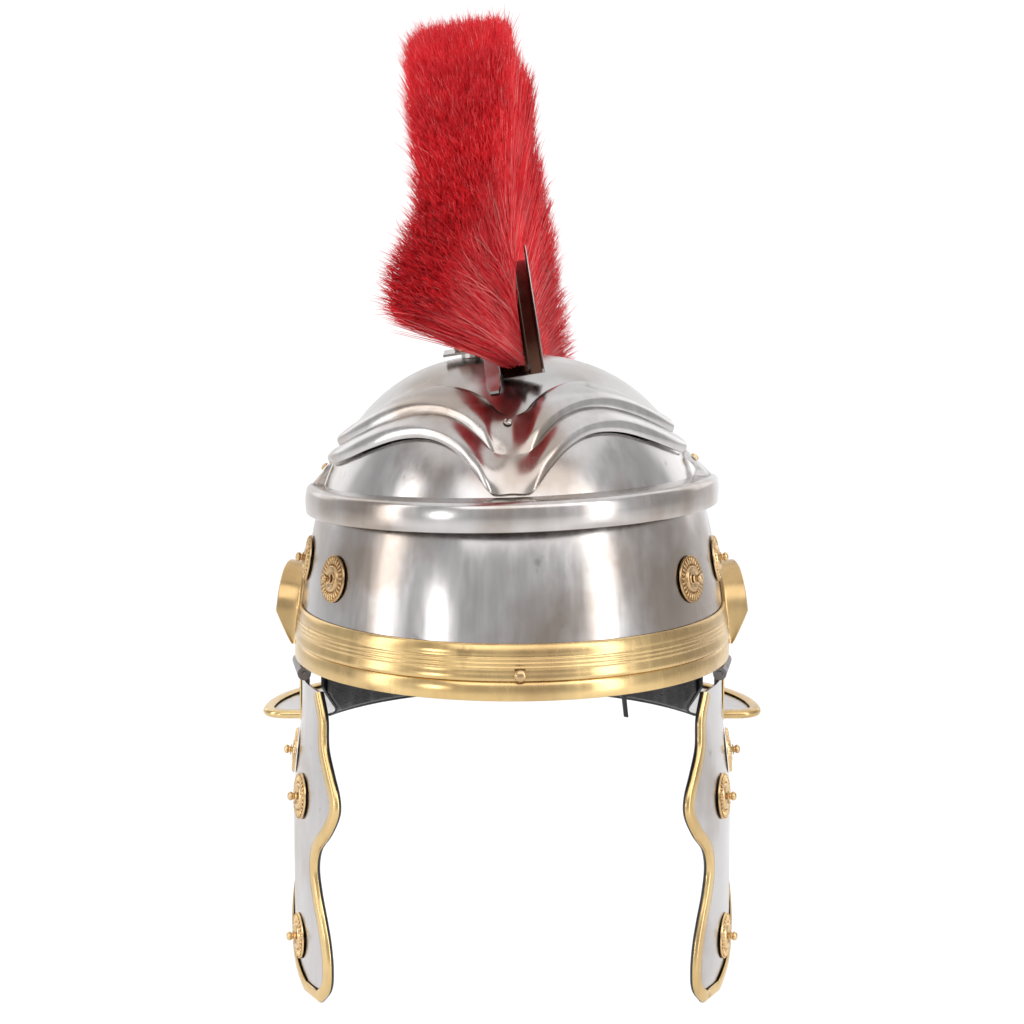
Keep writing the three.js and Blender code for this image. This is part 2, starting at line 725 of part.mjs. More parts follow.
function crestChannelGeometry() {
  const { radius, halfWidth: w, wallHeight, frontAngle, rearAngle } = crest;
  const floor = radius + SHEET;
  const top = radius + wallHeight;
  const section = [
    [radius, -w], [top, -w], [top, SHEET - w], [floor, SHEET - w],
    [floor, w - SHEET], [top, w - SHEET], [top, w], [radius, w],
  ];
  return fitToBowl(crestArc(section, frontAngle, rearAngle, 20));
}

const brushRoot = { left: -8.4, right: 2.2, coreThickness: 1, coreRise: 14, spreadStart: 15 };

function crestCoreGeometry() {
  const { left, right, coreThickness: t, coreRise } = brushRoot;
  const low = crest.radius + SHEET + GAP;
  const leg = right + GAP * 2;
  const section = [
    [low, left - 0.6], [low + t, left - 0.6], [low + t, leg], [low + coreRise, leg],
    [low + coreRise, leg + t], [low, leg + t],
  ];
  return crestArc(section, crest.frontAngle + 1, crest.rearAngle - 3, 20);
}

// Hair as one body of pointed locks, fused along the brush's root
function crestBrushGeometry() {
  const locks = 18;
  const { left, right, coreThickness, spreadStart } = brushRoot;
  const { radius, frontAngle, rearAngle, hairRadius } = crest;
  const root = radius + SHEET + GAP + coreThickness + GAP;
  const spread = radius + spreadStart;
  const loops = [];
  for (let i = 0; i <= locks * 2; i += 1) {
    const angle = frontAngle + 1.5 + ((rearAngle - frontAngle - 5) * i) / (locks * 2);
    const between = i % 2 === 0;
    const tip = hairRadius - (between ? 15 : 0);
    const middle = column(hairTips, 'angle', 'centre', angle);
    const half = column(hairTips, 'angle', 'halfWidth', angle) - (between ? 4 : 0);
    const waist = (edge, tipX) => edge + (tipX - edge) * 0.42;
    const waistRadius = spread + (tip - spread) * 0.45;
    const section = [
      [root, left], [spread, left], [waistRadius, waist(left, middle - half)], [tip - 9, middle - half],
      [tip - 15, middle - half * 0.45], [tip, middle], [tip - 15, middle + half * 0.45],
      [tip - 9, middle + half], [waistRadius, waist(right, middle + half)], [spread, right], [root, right],
    ];
    loops.push(section.map(([r, x]) => crestPoint(angle, r, x)));
  }
  return loft(loops);
}

const bracket = {
  left: -38, right: -11.1, front: -14, rear: 14, low: 9.5, // plate over the crown
  tongueWidth: 7,
  post: { left: -32.3, right: -11.1, front: -6, rear: 6, lip: 6.5, top: 49 },
};

// Plate over the crown with a tongue that runs down on the bowl in front
function crestBracketGeometry() {
  const { left, right, front, rear, low, tongueWidth } = bracket;
  const plate = block([left, front, low], [right, rear, low + SHEET]);
  const run = [
    { y: -10, z: 10.1, half: 1 }, { y: -22, z: 9.6, half: 1 }, { y: -32, z: 7.2, half: 1 },
    { y: -41, z: 3.2, half: 1 }, { y: -50, z: -0.9, half: 1 }, { y: -58, z: -4.9, half: 0.9 },
    { y: -62, z: -7, half: 0.6 },
  ];
  const middle = right - tongueWidth / 2;
  const loops = run.map(({ y, z, half }) => {
    const wide = (tongueWidth / 2) * half;
    const thick = SHEET / 2;
    return [
      V(middle - wide, y, z - thick), V(middle + wide, y, z - thick),
      V(middle + wide, y, z + thick), V(middle - wide, y, z + thick),
    ];
  });
  return fitToBowl(join(plate, loft(loops)));
}

// Upright beside the channel: a folded sheet, open to the front
function crestPostGeometry() {
  const { left, right, front, rear, lip, top } = bracket.post;
  const t = SHEET;
  const outline = new THREE.Shape([
    [left, front], [left + lip, front], [left + lip, front + t], [left + t, front + t], [left + t, rear - t],
    [right - t, rear - t], [right - t, front], [right, front], [right, rear], [left, rear],
  ].map(([x, y]) => new THREE.Vector2(x, y)));
  const foot = bracket.low + SHEET + GAP;
  const geometry = new THREE.ExtrudeGeometry(outline, { depth: top - foot, bevelEnabled: false });
  geometry.translate(0, 0, foot);
  return weld(geometry);
}

// Stud between the crown and the bracket's plate
function crestStudGeometry() {
  const height = bracket.low - GAP + 6;
  const radius = 7;
  const geometry = new THREE.CylinderGeometry(radius, radius, height, 16);
  geometry.rotateX(Math.PI / 2);
  geometry.translate((bracket.left + bracket.right) / 2 + 2, 0, bracket.low - GAP - height / 2);
  return fitToBowl(geometry);
}

// Black leather lining inside the nape
function liningGeometry() {
  const { top, thickness, from, rise } = lining;
  const to = 360 - from;
  const face = (off) => (s, t) => {
    const degrees = from + (to - from) * s;
    const inFromEnd = Math.min(degrees - from, to - degrees);
    const low = 3 - bowl.napeDrop + rise * (1 - Math.min(inFromEnd / 6, 1));
    return bowlPoint(degrees, low + (top - low) * t, -SHEET - GAP * 2 - off);
  };
  return wall(18, 3, face(0), face(thickness));
}

// End of a leather thong that hangs just below the nape
function thongGeometry() {
  const { angle, width, thickness, top, bottom } = thong;
  const off = -SHEET - GAP * 3 - lining.thickness;
  const turn = radToDeg(width / 2 / bowl.halfWidth);
  const corner = (degrees, deep, z) => bowlPoint(degrees, top, off - deep).setZ(z);
  return loft([bottom, top].map((z) => [
    corner(angle - turn, 0, z), corner(angle + turn, 0, z),
    corner(angle + turn, thickness, z), corner(angle - turn, thickness, z),
  ]));
}

// Helmet proper
add(helmet, 'skull_bowl', skullBowl(), steel());
add(helmet, 'brow_plate', browPlateGeometry(), steel());
add(helmet, 'brow_guard', browGuardGeometry(), steel());
add(helmet, 'brow_band', bowlStrip(browBandSection(), browBand.end, 24), brass());
add(helmet, 'rim_edging', bowlStrip(rimEdgingSection(), rimEdging.end, 24), brass());
add(helmet, 'neck_trim', neckTrimGeometry(), brass());
add(helmet, 'lining', liningGeometry(), leather());
add(helmet, 'lining_thong', thongGeometry(), leather());

const bandFace = GAP + browBand.thickness + browBand.relief;
rivet(helmet, 'brow_band_rivet', bowlPoint(2, 11.1, bandFace), bowlNormal(2, 11.1), 3, brass());
const plateFace = GAP + browPlate.seat + browPlate.thickness;
rivet(helmet, 'brow_plate_rivet', bowlPoint(-1.5, 124.5, plateFace + 0.35), bowlNormal(-1.5, 124.5), 2, steel());

const sides = [
  { side: -1, word: 'right' }, // the wearer's right
  { side: 1, word: 'left' },
];

for (const { side, word } of sides) {
  add(helmet, `ear_guard_${word}`, earGuardGeometry(side), brass());
  const spots = [
    { name: `brow_rosette_${word}`, degrees: 56.5, z: 46.5 },
    { name: `temple_rosette_${word}`, degrees: 80.5, z: 49.5 },
  ];
  for (const { name, degrees, z } of spots) {
    addRosette(helmet, name, bowlPoint(side * degrees, z), bowlNormal(side * degrees, z));
  }

  const plateEnd = side < 0 ? browPlate.from : browPlate.to;
  const tab = plateEnd + side * (browGuard.tabFull + 1);
  const { root, lip } = browGuardLines(tab);
  const high = bowlPoint(tab, root, GAP);
  const low = lip(0.2, 2.2);
  const across = low.clone().sub(high);
  const ahead = bowlPoint(tab + 1, root, GAP).sub(high);
  const outward = ahead.cross(across).multiplyScalar(-1).normalize();
  if (outward.z < 0) outward.negate();
  rivet(helmet, `brow_guard_rivet_${word}`, high.clone().addScaledVector(across, 0.4), outward, 2.2, brass());

  const pieces = hingePieces(side);
  add(helmet, `hinge_leaf_${word}`, pieces.fixedLeaf, steel());
  add(helmet, `hinge_pin_${word}`, pieces.pin, steel());
  add(helmet, `cheek_leaf_${word}`, pieces.cheekLeaf, steel());
  add(helmet, `cheek_guard_${word}`, cheekGuardGeometry(side), steel());
  add(helmet, `cheek_trim_${word}`, cheekTrimGeometry(side), brass());
  const discs = [
    { name: `cheek_rosette_rear_${word}`, y: -9, z: -51 },
    { name: `cheek_rosette_front_${word}`, y: -40, z: -67 },
    { name: `cheek_rosette_low_${word}`, y: -36, z: -140 },
  ];
  for (const { name, y, z } of discs) {
    const normal = cheekNormal(side, y, z);
    addRosette(helmet, name, cheekPoint(side, y, z, cheek.thickness / 2), normal);
  }
}

// Crest
add(crestGroup, 'crest_channel', crestChannelGeometry(), steel());
add(crestGroup, 'crest_core', crestCoreGeometry(), core());
add(crestGroup, 'crest_brush', crestBrushGeometry(), hair());
add(crestGroup, 'crest_bracket', crestBracketGeometry(), steel());
add(crestGroup, 'crest_post', crestPostGeometry(), steel());
add(crestGroup, 'crest_stud', crestStudGeometry(), steel());
rivet(crestGroup, 'crest_bracket_rivet', V(-28, -10.2, bracket.low + SHEET), V(0, 0, 1), 2.2, brass());

export default helmet;
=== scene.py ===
# %% [markdown]
# This file dresses a Roman legionary's helmet: a polished steel bowl with brass fittings, hinged cheek
# guards and a tall crest of red hair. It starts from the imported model, which fixes every size and place.
# Everything here is made in that same frame, in metres, with the brow facing -Y and +Z up. The shapes come
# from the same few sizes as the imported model, written in millimetres, only with finer steps.

# %% Load the frame and keep its box
import math
import random

import bmesh
import bpy
from mathutils import Matrix, Vector


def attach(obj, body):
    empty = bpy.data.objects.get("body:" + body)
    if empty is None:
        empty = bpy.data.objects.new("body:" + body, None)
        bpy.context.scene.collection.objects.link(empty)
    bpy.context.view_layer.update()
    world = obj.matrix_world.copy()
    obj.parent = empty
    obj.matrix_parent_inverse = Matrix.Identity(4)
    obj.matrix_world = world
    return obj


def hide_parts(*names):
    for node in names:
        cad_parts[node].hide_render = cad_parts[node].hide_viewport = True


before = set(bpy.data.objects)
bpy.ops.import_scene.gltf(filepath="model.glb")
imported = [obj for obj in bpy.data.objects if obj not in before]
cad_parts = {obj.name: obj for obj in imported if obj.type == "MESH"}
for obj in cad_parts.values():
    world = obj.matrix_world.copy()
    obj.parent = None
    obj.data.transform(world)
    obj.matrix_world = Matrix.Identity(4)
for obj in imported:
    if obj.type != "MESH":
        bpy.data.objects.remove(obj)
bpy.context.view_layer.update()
MM = 0.001  # sizes are in millimetres, and this turns them to metres
GAP = 0.4  # what is riveted or folded on stands this far off the surface under it
SHEET = 1.2  # the steel's thickness
SHARP = 32  # degrees between two faces, past which their edge is drawn sharp
SIDES = ((-1, "right"), (1, "left"))  # the wearer's

# %% [markdown]
# Every surface is either a sheet between two grids of points, or a section carried along a path. Two small
# helpers make both. They close each body, so that its faces can be turned outwards, and they mark as sharp
# only the edges that fold by more than an angle, so that smooth stretches stay smooth.

# %% Helpers for sheets and lofts
def radians(*degrees):
    return [math.radians(d) for d in degrees]


def add_object(name, data):
    piece = bpy.data.objects.new(name, data)
    bpy.context.scene.collection.objects.link(piece)
    return piece


def finish_mesh(name, verts, faces, sharp=SHARP):
    """An object from points in millimetres, welded, closed and with its faces turned outwards."""
    mesh = bpy.data.meshes.new(name)
    mesh.from_pydata([tuple(c * MM for c in v) for v in verts], [], faces)
    shell = bmesh.new()
    shell.from_mesh(mesh)
    bmesh.ops.remove_doubles(shell, verts=shell.verts, dist=1e-6)
    bmesh.ops.dissolve_degenerate(shell, edges=shell.edges, dist=1e-7)
    bmesh.ops.recalc_face_normals(shell, faces=shell.faces)
    if shell.calc_volume(signed=True) < 0:
        bmesh.ops.reverse_faces(shell, faces=shell.faces)
    shell.to_mesh(mesh)
    shell.free()
    mesh.shade_smooth()
    mesh.set_sharp_from_angle(angle=math.radians(sharp))
    return add_object(name, mesh)


def sheet(name, columns, rows, outer, inner, sharp=SHARP):
    """A closed sheet between two faces, both functions of two numbers from 0 to 1."""
    verts = []
    for face in (outer, inner):
        for j in range(rows + 1):
            verts += [face(i / columns, j / rows) for i in range(columns + 1)]
    size = (columns + 1) * (rows + 1)

    def at(i, j, layer=0):
        return layer * size + j * (columns + 1) + i

    faces = []
    for j in range(rows):
        for i in range(columns):
            faces.append((at(i, j), at(i + 1, j), at(i + 1, j + 1), at(i, j + 1)))
            faces.append((at(i, j, 1), at(i, j + 1, 1), at(i + 1, j + 1, 1), at(i + 1, j, 1)))
        faces.append((at(0, j), at(0, j + 1), at(0, j + 1, 1), at(0, j, 1)))
        faces.append((at(columns, j), at(columns, j, 1), at(columns, j + 1, 1), at(columns, j + 1)))
    for i in range(columns):
        faces.append((at(i, 0), at(i, 0, 1), at(i + 1, 0, 1), at(i + 1, 0)))
        faces.append((at(i, rows), at(i + 1, rows), at(i + 1, rows, 1), at(i, rows, 1)))
    return finish_mesh(name, verts, faces, sharp)


def loft(name, loops, ring=False, sharp=SHARP):
    """A closed body through cross-sections that all have the same number of points."""
    count = len(loops[0])
    verts = [p for loop in loops for p in loop]
    faces = []
    spans = len(loops) if ring else len(loops) - 1
    for i in range(spans):
        here = i * count
        there = ((i + 1) % len(loops)) * count
        for j in range(count):
            k = (j + 1) % count
            faces.append((here + j, there + j, there + k, here + k))
    if not ring:
        faces.append(tuple(range(count)))
        faces.append(tuple(range((len(loops) - 1) * count, len(loops) * count)))
    return finish_mesh(name, verts, faces, sharp)


def turned(name, profile, steps, place, direction, sharp=SHARP):
    """A body turned about a direction, from pairs of radius and height, standing at a place."""
    turn = Vector((0, 0, 1)).rotation_difference(Vector(direction).normalized()).to_matrix()
    loops = []
    for s in range(steps):
        angle = 2 * math.pi * s / steps
        loops.append([Vector(place) + turn @ Vector((r * math.cos(angle), r * math.sin(angle), h))
                      for r, h in profile])
    return loft(name, loops, ring=True, sharp=sharp)


def smoothstep(x, low, high):
    """Rises softly from 0 to 1 between two values of x."""
    t = min(max((x - low) / (high - low), 0), 1)
    return t * t * (3 - 2 * t)


def table(names, *rows):
    return [dict(zip(names, row)) for row in rows]


def column(table, key, name, at):
    """Reads a table's column at a place between its rows, along a smooth curve."""
    last = len(table) - 1
    rising = table[last][key] > table[0][key]
    i = 0
    while i < last - 1 and (at > table[i + 1][key] if rising else at < table[i + 1][key]):
        i += 1
    a, b, c, d = table[max(i - 1, 0)], table[i], table[i + 1], table[min(i + 2, last)]
    t = min(max((at - b[key]) / (c[key] - b[key]), 0), 1)
    slope_b = (c[name] - a[name]) / (c[key] - a[key]) * (c[key] - b[key])
    slope_c = (d[name] - b[name]) / (d[key] - b[key]) * (c[key] - b[key])
    s, u = t * t, t * t * t
    return ((2 * u - 3 * s + 1) * b[name] + (u - 2 * s + t) * slope_b
            + (3 * s - 2 * u) * c[name] + (u - s) * slope_c)


print("helpers ready")

# %% [markdown]
# The bowl is a superellipse of revolution, stretched from front to back, with a small flare at the rim. All
# fittings lie on it, so its formula comes first, together with its outward direction at any place.

# %% The bowl's formula
BOWL = {"half_width": 105.2, "half_length": 116, "height": 149.5, "power": 2.5, "flare": 3.6,
        "flare_top": 62, "nape_drop": 48, "skirt": 4.5}


def bowl_axes(z, off=0.0):
    """Half width and half length of the bowl at a height. The offset grows it outwards."""
    height = BOWL["height"] + off
    share = 1 if z <= 0 else max(1 - (z / height) ** BOWL["power"], 0) ** (1 / BOWL["power"])
    flare = BOWL["flare"] * (1 - max(z, 0) / BOWL["flare_top"]) ** 2 if z < BOWL["flare_top"] else 0
    skirt = BOWL["skirt"]
    bend = min(max(skirt - BOWL["nape_drop"] - z, 0), skirt)
    out = flare + skirt - math.sqrt(skirt * skirt - bend * bend)
    return (BOWL["half_width"] + off) * share + out, (BOWL["half_length"] + off) * share + out


def bowl_point(degrees, z, off=0.0):
    """A place on the bowl: 0 degrees is the brow and 90 the wearer's left."""
    a, b = bowl_axes(z, off)
    turn = math.radians(degrees)
    return Vector((a * math.sin(turn), -b * math.cos(turn), z))


def bowl_normal(degrees, z, step=0.5):
    around = bowl_point(degrees + step, z) - bowl_point(degrees - step, z)
    up = bowl_point(degrees, z + step) - bowl_point(degrees, z - step)
    return around.cross(up).normalized()


def bowl_side(y, z, off=0.0):
    """How far the bowl reaches sideways at a place seen from the side."""
    a, b = bowl_axes(z, off)
    return a * math.sqrt(max(1 - (y / b) ** 2, 0))


print("rim half-axes, mm:", [round(v, 1) for v in bowl_axes(0)])

# %% [markdown]
# Materials come next. A metal is a Principled shader with full metallic, and what makes it real is how its
# roughness and colour change: brush marks stretched one way, soft clouds, and a few stains. Each pattern
# reads Object coordinates, so it sticks to the piece, and the same function makes steel and brass.

# %% Helpers for node materials
def new_material(name):
    material = bpy.data.materials.new(name)
    material.use_nodes = True
    tree = material.node_tree
    shader = next(n for n in tree.nodes if n.type == "BSDF_PRINCIPLED")
    return material, tree, shader


def put(tree, kind, inputs=(), **settings):
    """Adds a node. Each input, by name or number, is linked to a socket or set to a value."""
    node = tree.nodes.new(kind)
    for name, value in settings.items():
        setattr(node, name, value)
    for socket, value in dict(inputs).items():
        if hasattr(value, "is_output"):
            tree.links.new(value, node.inputs[socket])
        else:
            node.inputs[socket].default_value = value
    return node.outputs


def noise(tree, scale, detail, stretch=(1, 1, 1)):
    coords = put(tree, "ShaderNodeTexCoord")["Object"]
    place = put(tree, "ShaderNodeMapping", {"Vector": coords, "Scale": stretch})["Vector"]
    return put(tree, "ShaderNodeTexNoise", {"Vector": place, "Scale": scale, "Detail": detail})["Fac"]


def ramp(tree, value, *stops):
    """Turns a value into a colour, by pairs of a place and its colour."""
    node = tree.nodes.new("ShaderNodeValToRGB")
    elements = node.color_ramp.elements
    while len(elements) < len(stops):
        elements.new(0.5)
    for element, (place, color) in zip(elements, stops):
        element.position = place
        element.color = (*color, 1)
    tree.links.new(value, node.inputs["Fac"])
    return node.outputs["Color"]


def grey(value):
    return (value, value, value)


def mix(tree, factor, first, second, blend="MIX"):
    """Mixes two colours. Each of the three can be a socket or a plain value."""
    first, second = ((*value, 1) if isinstance(value, tuple) else value for value in (first, second))
    inputs = {0: factor, 6: first, 7: second}
    return put(tree, "ShaderNodeMix", inputs, data_type="RGBA", blend_type=blend)[2]


def bump(tree, shader, height, strength, distance):
    inputs = {"Height": height, "Strength": strength, "Distance": distance}
    tree.links.new(put(tree, "ShaderNodeBump", inputs)["Normal"], shader.inputs["Normal"])


def metal(name, light, dark, stain, rough, stain_amount, dents=0.2):
    """A metal with clouds between two tints, brush marks, smudges and specks of a stain, and soft dents."""
    material, tree, shader = new_material(name)
    shader.inputs["Metallic"].default_value = 1.0
    clouds = ramp(tree, noise(tree, 9, 5), (0.3, dark), (0.7, light))
    brush_marks = noise(tree, 6, 3, stretch=BRUSHED)
    streaks = ramp(tree, brush_marks, (0.35, grey(0.4)), (0.65, grey(1.0)))
    tint = mix(tree, 0.14, clouds, streaks, "MULTIPLY")
    dirt = noise(tree, 17, 8, stretch=(1, 1, 0.8))
    smudges = ramp(tree, dirt, (0.46, grey(0.0)), (0.62, grey(stain_amount)))
    specks = ramp(tree, noise(tree, 70, 6), (0.66, grey(0.0)), (0.74, grey(stain_amount * 0.7)))
    stained = mix(tree, specks, mix(tree, smudges, tint, stain), tuple(c * 0.5 for c in stain))
    tree.links.new(stained, shader.inputs["Base Color"])
    low, high = (grey(value) for value in rough)
    worn = mix(tree, 0.5, ramp(tree, brush_marks, (0.3, low), (0.7, high)),
               ramp(tree, noise(tree, 14, 6), (0.35, low), (0.7, high)))
    tree.links.new(worn, shader.inputs["Roughness"])
    heights = mix(tree, 0.97, brush_marks, noise(tree, 15, 2))
    bump(tree, shader, heights, dents, 0.0014)
    return material


BRUSHED = (34, 34, 4)  # the noise is squeezed across the brush marks, which run up and down
steel = metal("polished_steel", light=(0.62, 0.595, 0.585), dark=(0.48, 0.465, 0.46),
              stain=(0.30, 0.235, 0.185), rough=(0.15, 0.30), stain_amount=0.72)
dark_steel = metal("dark_steel", light=(0.22, 0.21, 0.20), dark=(0.12, 0.11, 0.11),
                   stain=(0.12, 0.07, 0.04), rough=(0.25, 0.45), stain_amount=0.6)
brass = metal("brass", light=(0.80, 0.60, 0.30), dark=(0.62, 0.42, 0.18),
              stain=(0.26, 0.14, 0.06), rough=(0.18, 0.34), stain_amount=0.5)
bright_brass = metal("bright_brass", light=(0.84, 0.62, 0.35), dark=(0.64, 0.44, 0.22),
                     stain=(0.2, 0.1, 0.04), rough=(0.2, 0.34), stain_amount=0.5, dents=0.1)
print("metals:", steel.name, dark_steel.name, brass.name, bright_brass.name)

# %% [markdown]
# The insides of the bowl, of the cheek guards and of the cheek trims are black, a painted shade for the dark
# that fills them, and the lining is black leather. The black is a dark, slightly rough coat with a fine
# orange-peel bump. Leather has a cell pattern for its grain. The crest's base is brown and shiny in the
# photograph, so it is a dark red-brown metal.

# %% Black for painted shade, leather and the crest's base
def uneven_roughness(tree, shader, scale, detail, middle, spread):
    low, high = grey(middle - spread), grey(middle + spread)
    patches = ramp(tree, noise(tree, scale, detail), (0.3, low), (0.7, high))
    tree.links.new(patches, shader.inputs["Roughness"])


def shade_coat(name, color, rough):
    material, tree, shader = new_material(name)
    worn = ramp(tree, noise(tree, 40, 6), (0.62, color), (0.8, tuple(c + 0.05 for c in color)))
    tree.links.new(worn, shader.inputs["Base Color"])
    uneven_roughness(tree, shader, 60, 3, rough, 0.1)
    bump(tree, shader, noise(tree, 220, 2), 0.15, 0.0005)
    return material


def leather(name, color, rough, cells_a_metre):
    material, tree, shader = new_material(name)
    coords = put(tree, "ShaderNodeTexCoord")["Object"]
    cells = put(tree, "ShaderNodeTexVoronoi", {"Vector": coords, "Scale": cells_a_metre})
    light = tuple(c * 1.9 + 0.01 for c in color)
    tree.links.new(mix(tree, noise(tree, 30, 5), color, light), shader.inputs["Base Color"])
    uneven_roughness(tree, shader, 50, 4, rough, 0.12)
    bump(tree, shader, cells["Distance"], 0.35, 0.0008)
    return material


# Black for inward faces: painted shade inside the bowl, the cheek guards and the cheek trims.
shade_black = shade_coat("shade_black", (0.012, 0.012, 0.012), rough=0.42)
black_leather = leather("black_leather", (0.018, 0.016, 0.016), rough=0.5, cells_a_metre=900)
crest_base = metal("crest_base", light=(0.13, 0.07, 0.045), dark=(0.05, 0.025, 0.017),
                   stain=(0.02, 0.01, 0.006), rough=(0.16, 0.32), stain_amount=0.5)
print("dark finishes:", shade_black.name, black_leather.name, crest_base.name)

# %% [markdown]
# A finished piece is told three things: its material, the rigid body that it rides on, and which solid of
# the imported model it stands for. Faces that look inwards can take a second material, a black that paints
# the shade inside.

# %% Helpers to dress a piece
def dress(piece, material, body, slot, *nodes):
    piece.data.materials.append(material)
    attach(piece, body)
    if nodes:
        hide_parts(*nodes)
    return piece


def shade_inside(piece, material, outward, below=-0.35):
    """Gives the second material, painted shade, to the faces that look against a direction, worked out for
    each face.
    """
    piece.data.materials.append(material)
    for polygon in piece.data.polygons:
        if polygon.normal.dot(outward(polygon.center).normalized()) < below:
            polygon.material_index = 1


def applied(piece):
    """The piece as a plain mesh, with its modifiers baked in."""
    graph = bpy.context.evaluated_depsgraph_get()
    graph.update()
    mesh = bpy.data.meshes.new_from_object(piece.evaluated_get(graph))
    piece.modifiers.clear()
    piece.data = mesh
    return piece


def combine(piece, tool, operation):
    """Cuts a tool away from a piece, or joins it on, and removes the tool."""
    modifier = piece.modifiers.new(operation.lower(), "BOOLEAN")
    modifier.operation = operation
    modifier.solver = "EXACT"
    modifier.object = tool
    applied(piece)
    bpy.data.objects.remove(tool, do_unlink=True)
    piece.data.shade_smooth()
    piece.data.set_sharp_from_angle(angle=math.radians(SHARP))
    return piece


print("ways to dress a piece are ready")

# %% [markdown]
# The real bowl is raised from one sheet: crown, nape and flat neck guard in one. Here a shell between two
# faces is cut along its lower edge, as seen from the side, and the neck guard is joined to it. Cutting a
# fine shell keeps its curvature smooth, which polished steel needs more than any other finish.

# %% Skull bowl
EAR = {"middle": 24, "half_width": 21, "springing": 19}
NAPE = {"front": 45, "slant_top": -30, "corner": 61, "overlap": 1.5}
NECK = {"front": 61, "half_width": 133, "rear": 180, "corner": 12}
CUT = {"front": -250, "bottom": -200, "side": 200}
FLOOR = -BOWL["nape_drop"] - SHEET


def bowl_loops(off, rows, lowest=FLOOR, segments=160):
    """Rings round the bowl, from its crown down, closer together where the crown is flat."""
    heights = [(BOWL["height"] + off) * math.cos(math.pi / 2 * i / rows) ** (2 / BOWL["power"])
               for i in range(rows)] + [0.0]
    skirt = [BOWL["skirt"] * (1 - i / 6) - BOWL["nape_drop"] for i in range(7)]
    heights += [z for z in skirt if z > lowest] + [lowest]
    return [[bowl_point(360 * i / segments, z, off) for i in range(segments)] for z in heights]


def prism(name, outline, low, high, across):
    """An outline pushed along an axis: across "x" reads (y, z) pairs, and "z" reads (x, y) pairs."""
    def at(p, h):
        return (h, p[0], p[1]) if across == "x" else (p[0], p[1], h)
    return loft(name, [[at(p, low) for p in outline], [at(p, high) for p in outline]])


def neck_edge(count=72):
    """The neck guard's free edge seen from above: two straight sides, round corners and a round back."""
    a, b = bowl_axes(-BOWL["nape_drop"])
    front, r, half = NECK["front"], NECK["corner"], NECK["half_width"]
    inner = a * math.sqrt(1 - (front / b) ** 2) + 1
    depth = NECK["rear"] - front
    side = [(inner + (half - r - inner) * i / 4, front) for i in range(4)]
    side += [(half - r + r * math.sin(math.pi / 2 * i / 8), front + r - r * math.cos(math.pi / 2 * i / 8))
             for i in range(9)]
    back = []
    for i in range(1, count + 1):
        turn = math.pi * i / (count + 1)
        back.append((half * math.cos(turn), front + r + (depth - r) * math.sin(turn)))
    return side + back + [(-x, y) for x, y in reversed(side)]


shell = loft("skull_bowl_steel", bowl_loops(0, 56) + bowl_loops(-SHEET, 50)[::-1])
side_view = [(CUT["front"], CUT["bottom"]), (CUT["front"], 0), (EAR["middle"] - EAR["half_width"], 0)]
for i in range(33):
    turn = math.pi * (1 - i / 32)
    side_view.append((EAR["middle"] + EAR["half_width"] * math.cos(turn),
                      EAR["springing"] + EAR["half_width"] * math.sin(turn)))
side_view += [(NAPE["front"], NAPE["slant_top"]), (NAPE["corner"], NAPE["overlap"] - BOWL["nape_drop"]),
              (NAPE["corner"], CUT["bottom"])]
combine(shell, prism("away", side_view, -CUT["side"], CUT["side"], "x"), "DIFFERENCE")

a_mid, b_mid = bowl_axes(-BOWL["nape_drop"], -SHEET / 2)
start = math.asin(NECK["front"] / b_mid)
inner_edge = []
for i in range(49):
    turn = start + (math.pi - 2 * start) * i / 48
    inner_edge.append((-a_mid * math.cos(turn), b_mid * math.sin(turn)))
plate = prism("plate", neck_edge() + inner_edge, FLOOR, FLOOR + SHEET, "z")
combine(shell, plate, "UNION")
dress(shell, steel, "helmet", "polished_steel", "skull_bowl")
# The bowl's inward faces are black: painted shade inside the bowl.
shade_inside(shell, shade_black, lambda c: Vector((c.x, c.y, max(c.z, 0))))
print("skull bowl faces:", len(shell.data.polygons))

# %% [markdown]
# The brow plate is embossed with two ridges on each side that sweep up from the nose like eyebrows, with a
# sharp valley between them. Its edges follow a short table of heights, and the ridges are a sine across the
# plate, broad on top and tight in the valleys. The brow fittings sit slightly askew in the photograph, so
# each height rises towards +X.

# %% Brow plate
TILT = math.tan(math.radians(1.8))
BROW_EDGES = table(
    ("angle", "lower", "upper"),
    (0, 93.6, 126.5), (5.5, 93.6, 129), (8, 97, 131.5), (12, 104, 134.5), (18, 111.5, 137),
    (25, 116, 138.6), (33, 117.6, 139.4), (43, 116, 139), (54, 111, 135.6), (64, 105.5, 129.6),
    (74, 101, 122.5), (82, 99, 117),
)
BROW = {"from": -82, "to": 76, "relief": 2.7, "thickness": 1.0, "seat": 0.3, "valley": 9}


def tilt_rise(degrees, z):
    return TILT * bowl_point(degrees, z).x


def brow_face(off):
    def face(s, t):
        angle = BROW["from"] + (BROW["to"] - BROW["from"]) * s
        lower = column(BROW_EDGES, "angle", "lower", abs(angle))
        upper = column(BROW_EDGES, "angle", "upper", abs(angle))
        spread = smoothstep(abs(angle), 0, BROW["valley"])
        ridge = BROW["relief"] * abs(math.sin(2 * math.pi * t)) ** 0.95 * spread
        z = lower + (upper - lower) * t
        return bowl_point(angle, z + tilt_rise(angle, z), GAP + BROW["seat"] + off + ridge)
    return face


brow_plate = sheet("brow_plate_steel", 190, 40, brow_face(BROW["thickness"]), brow_face(0), sharp=40)
dress(brow_plate, steel, "helmet", "polished_steel", "brow_plate")
print("brow plate faces:", len(brow_plate.data.polygons))

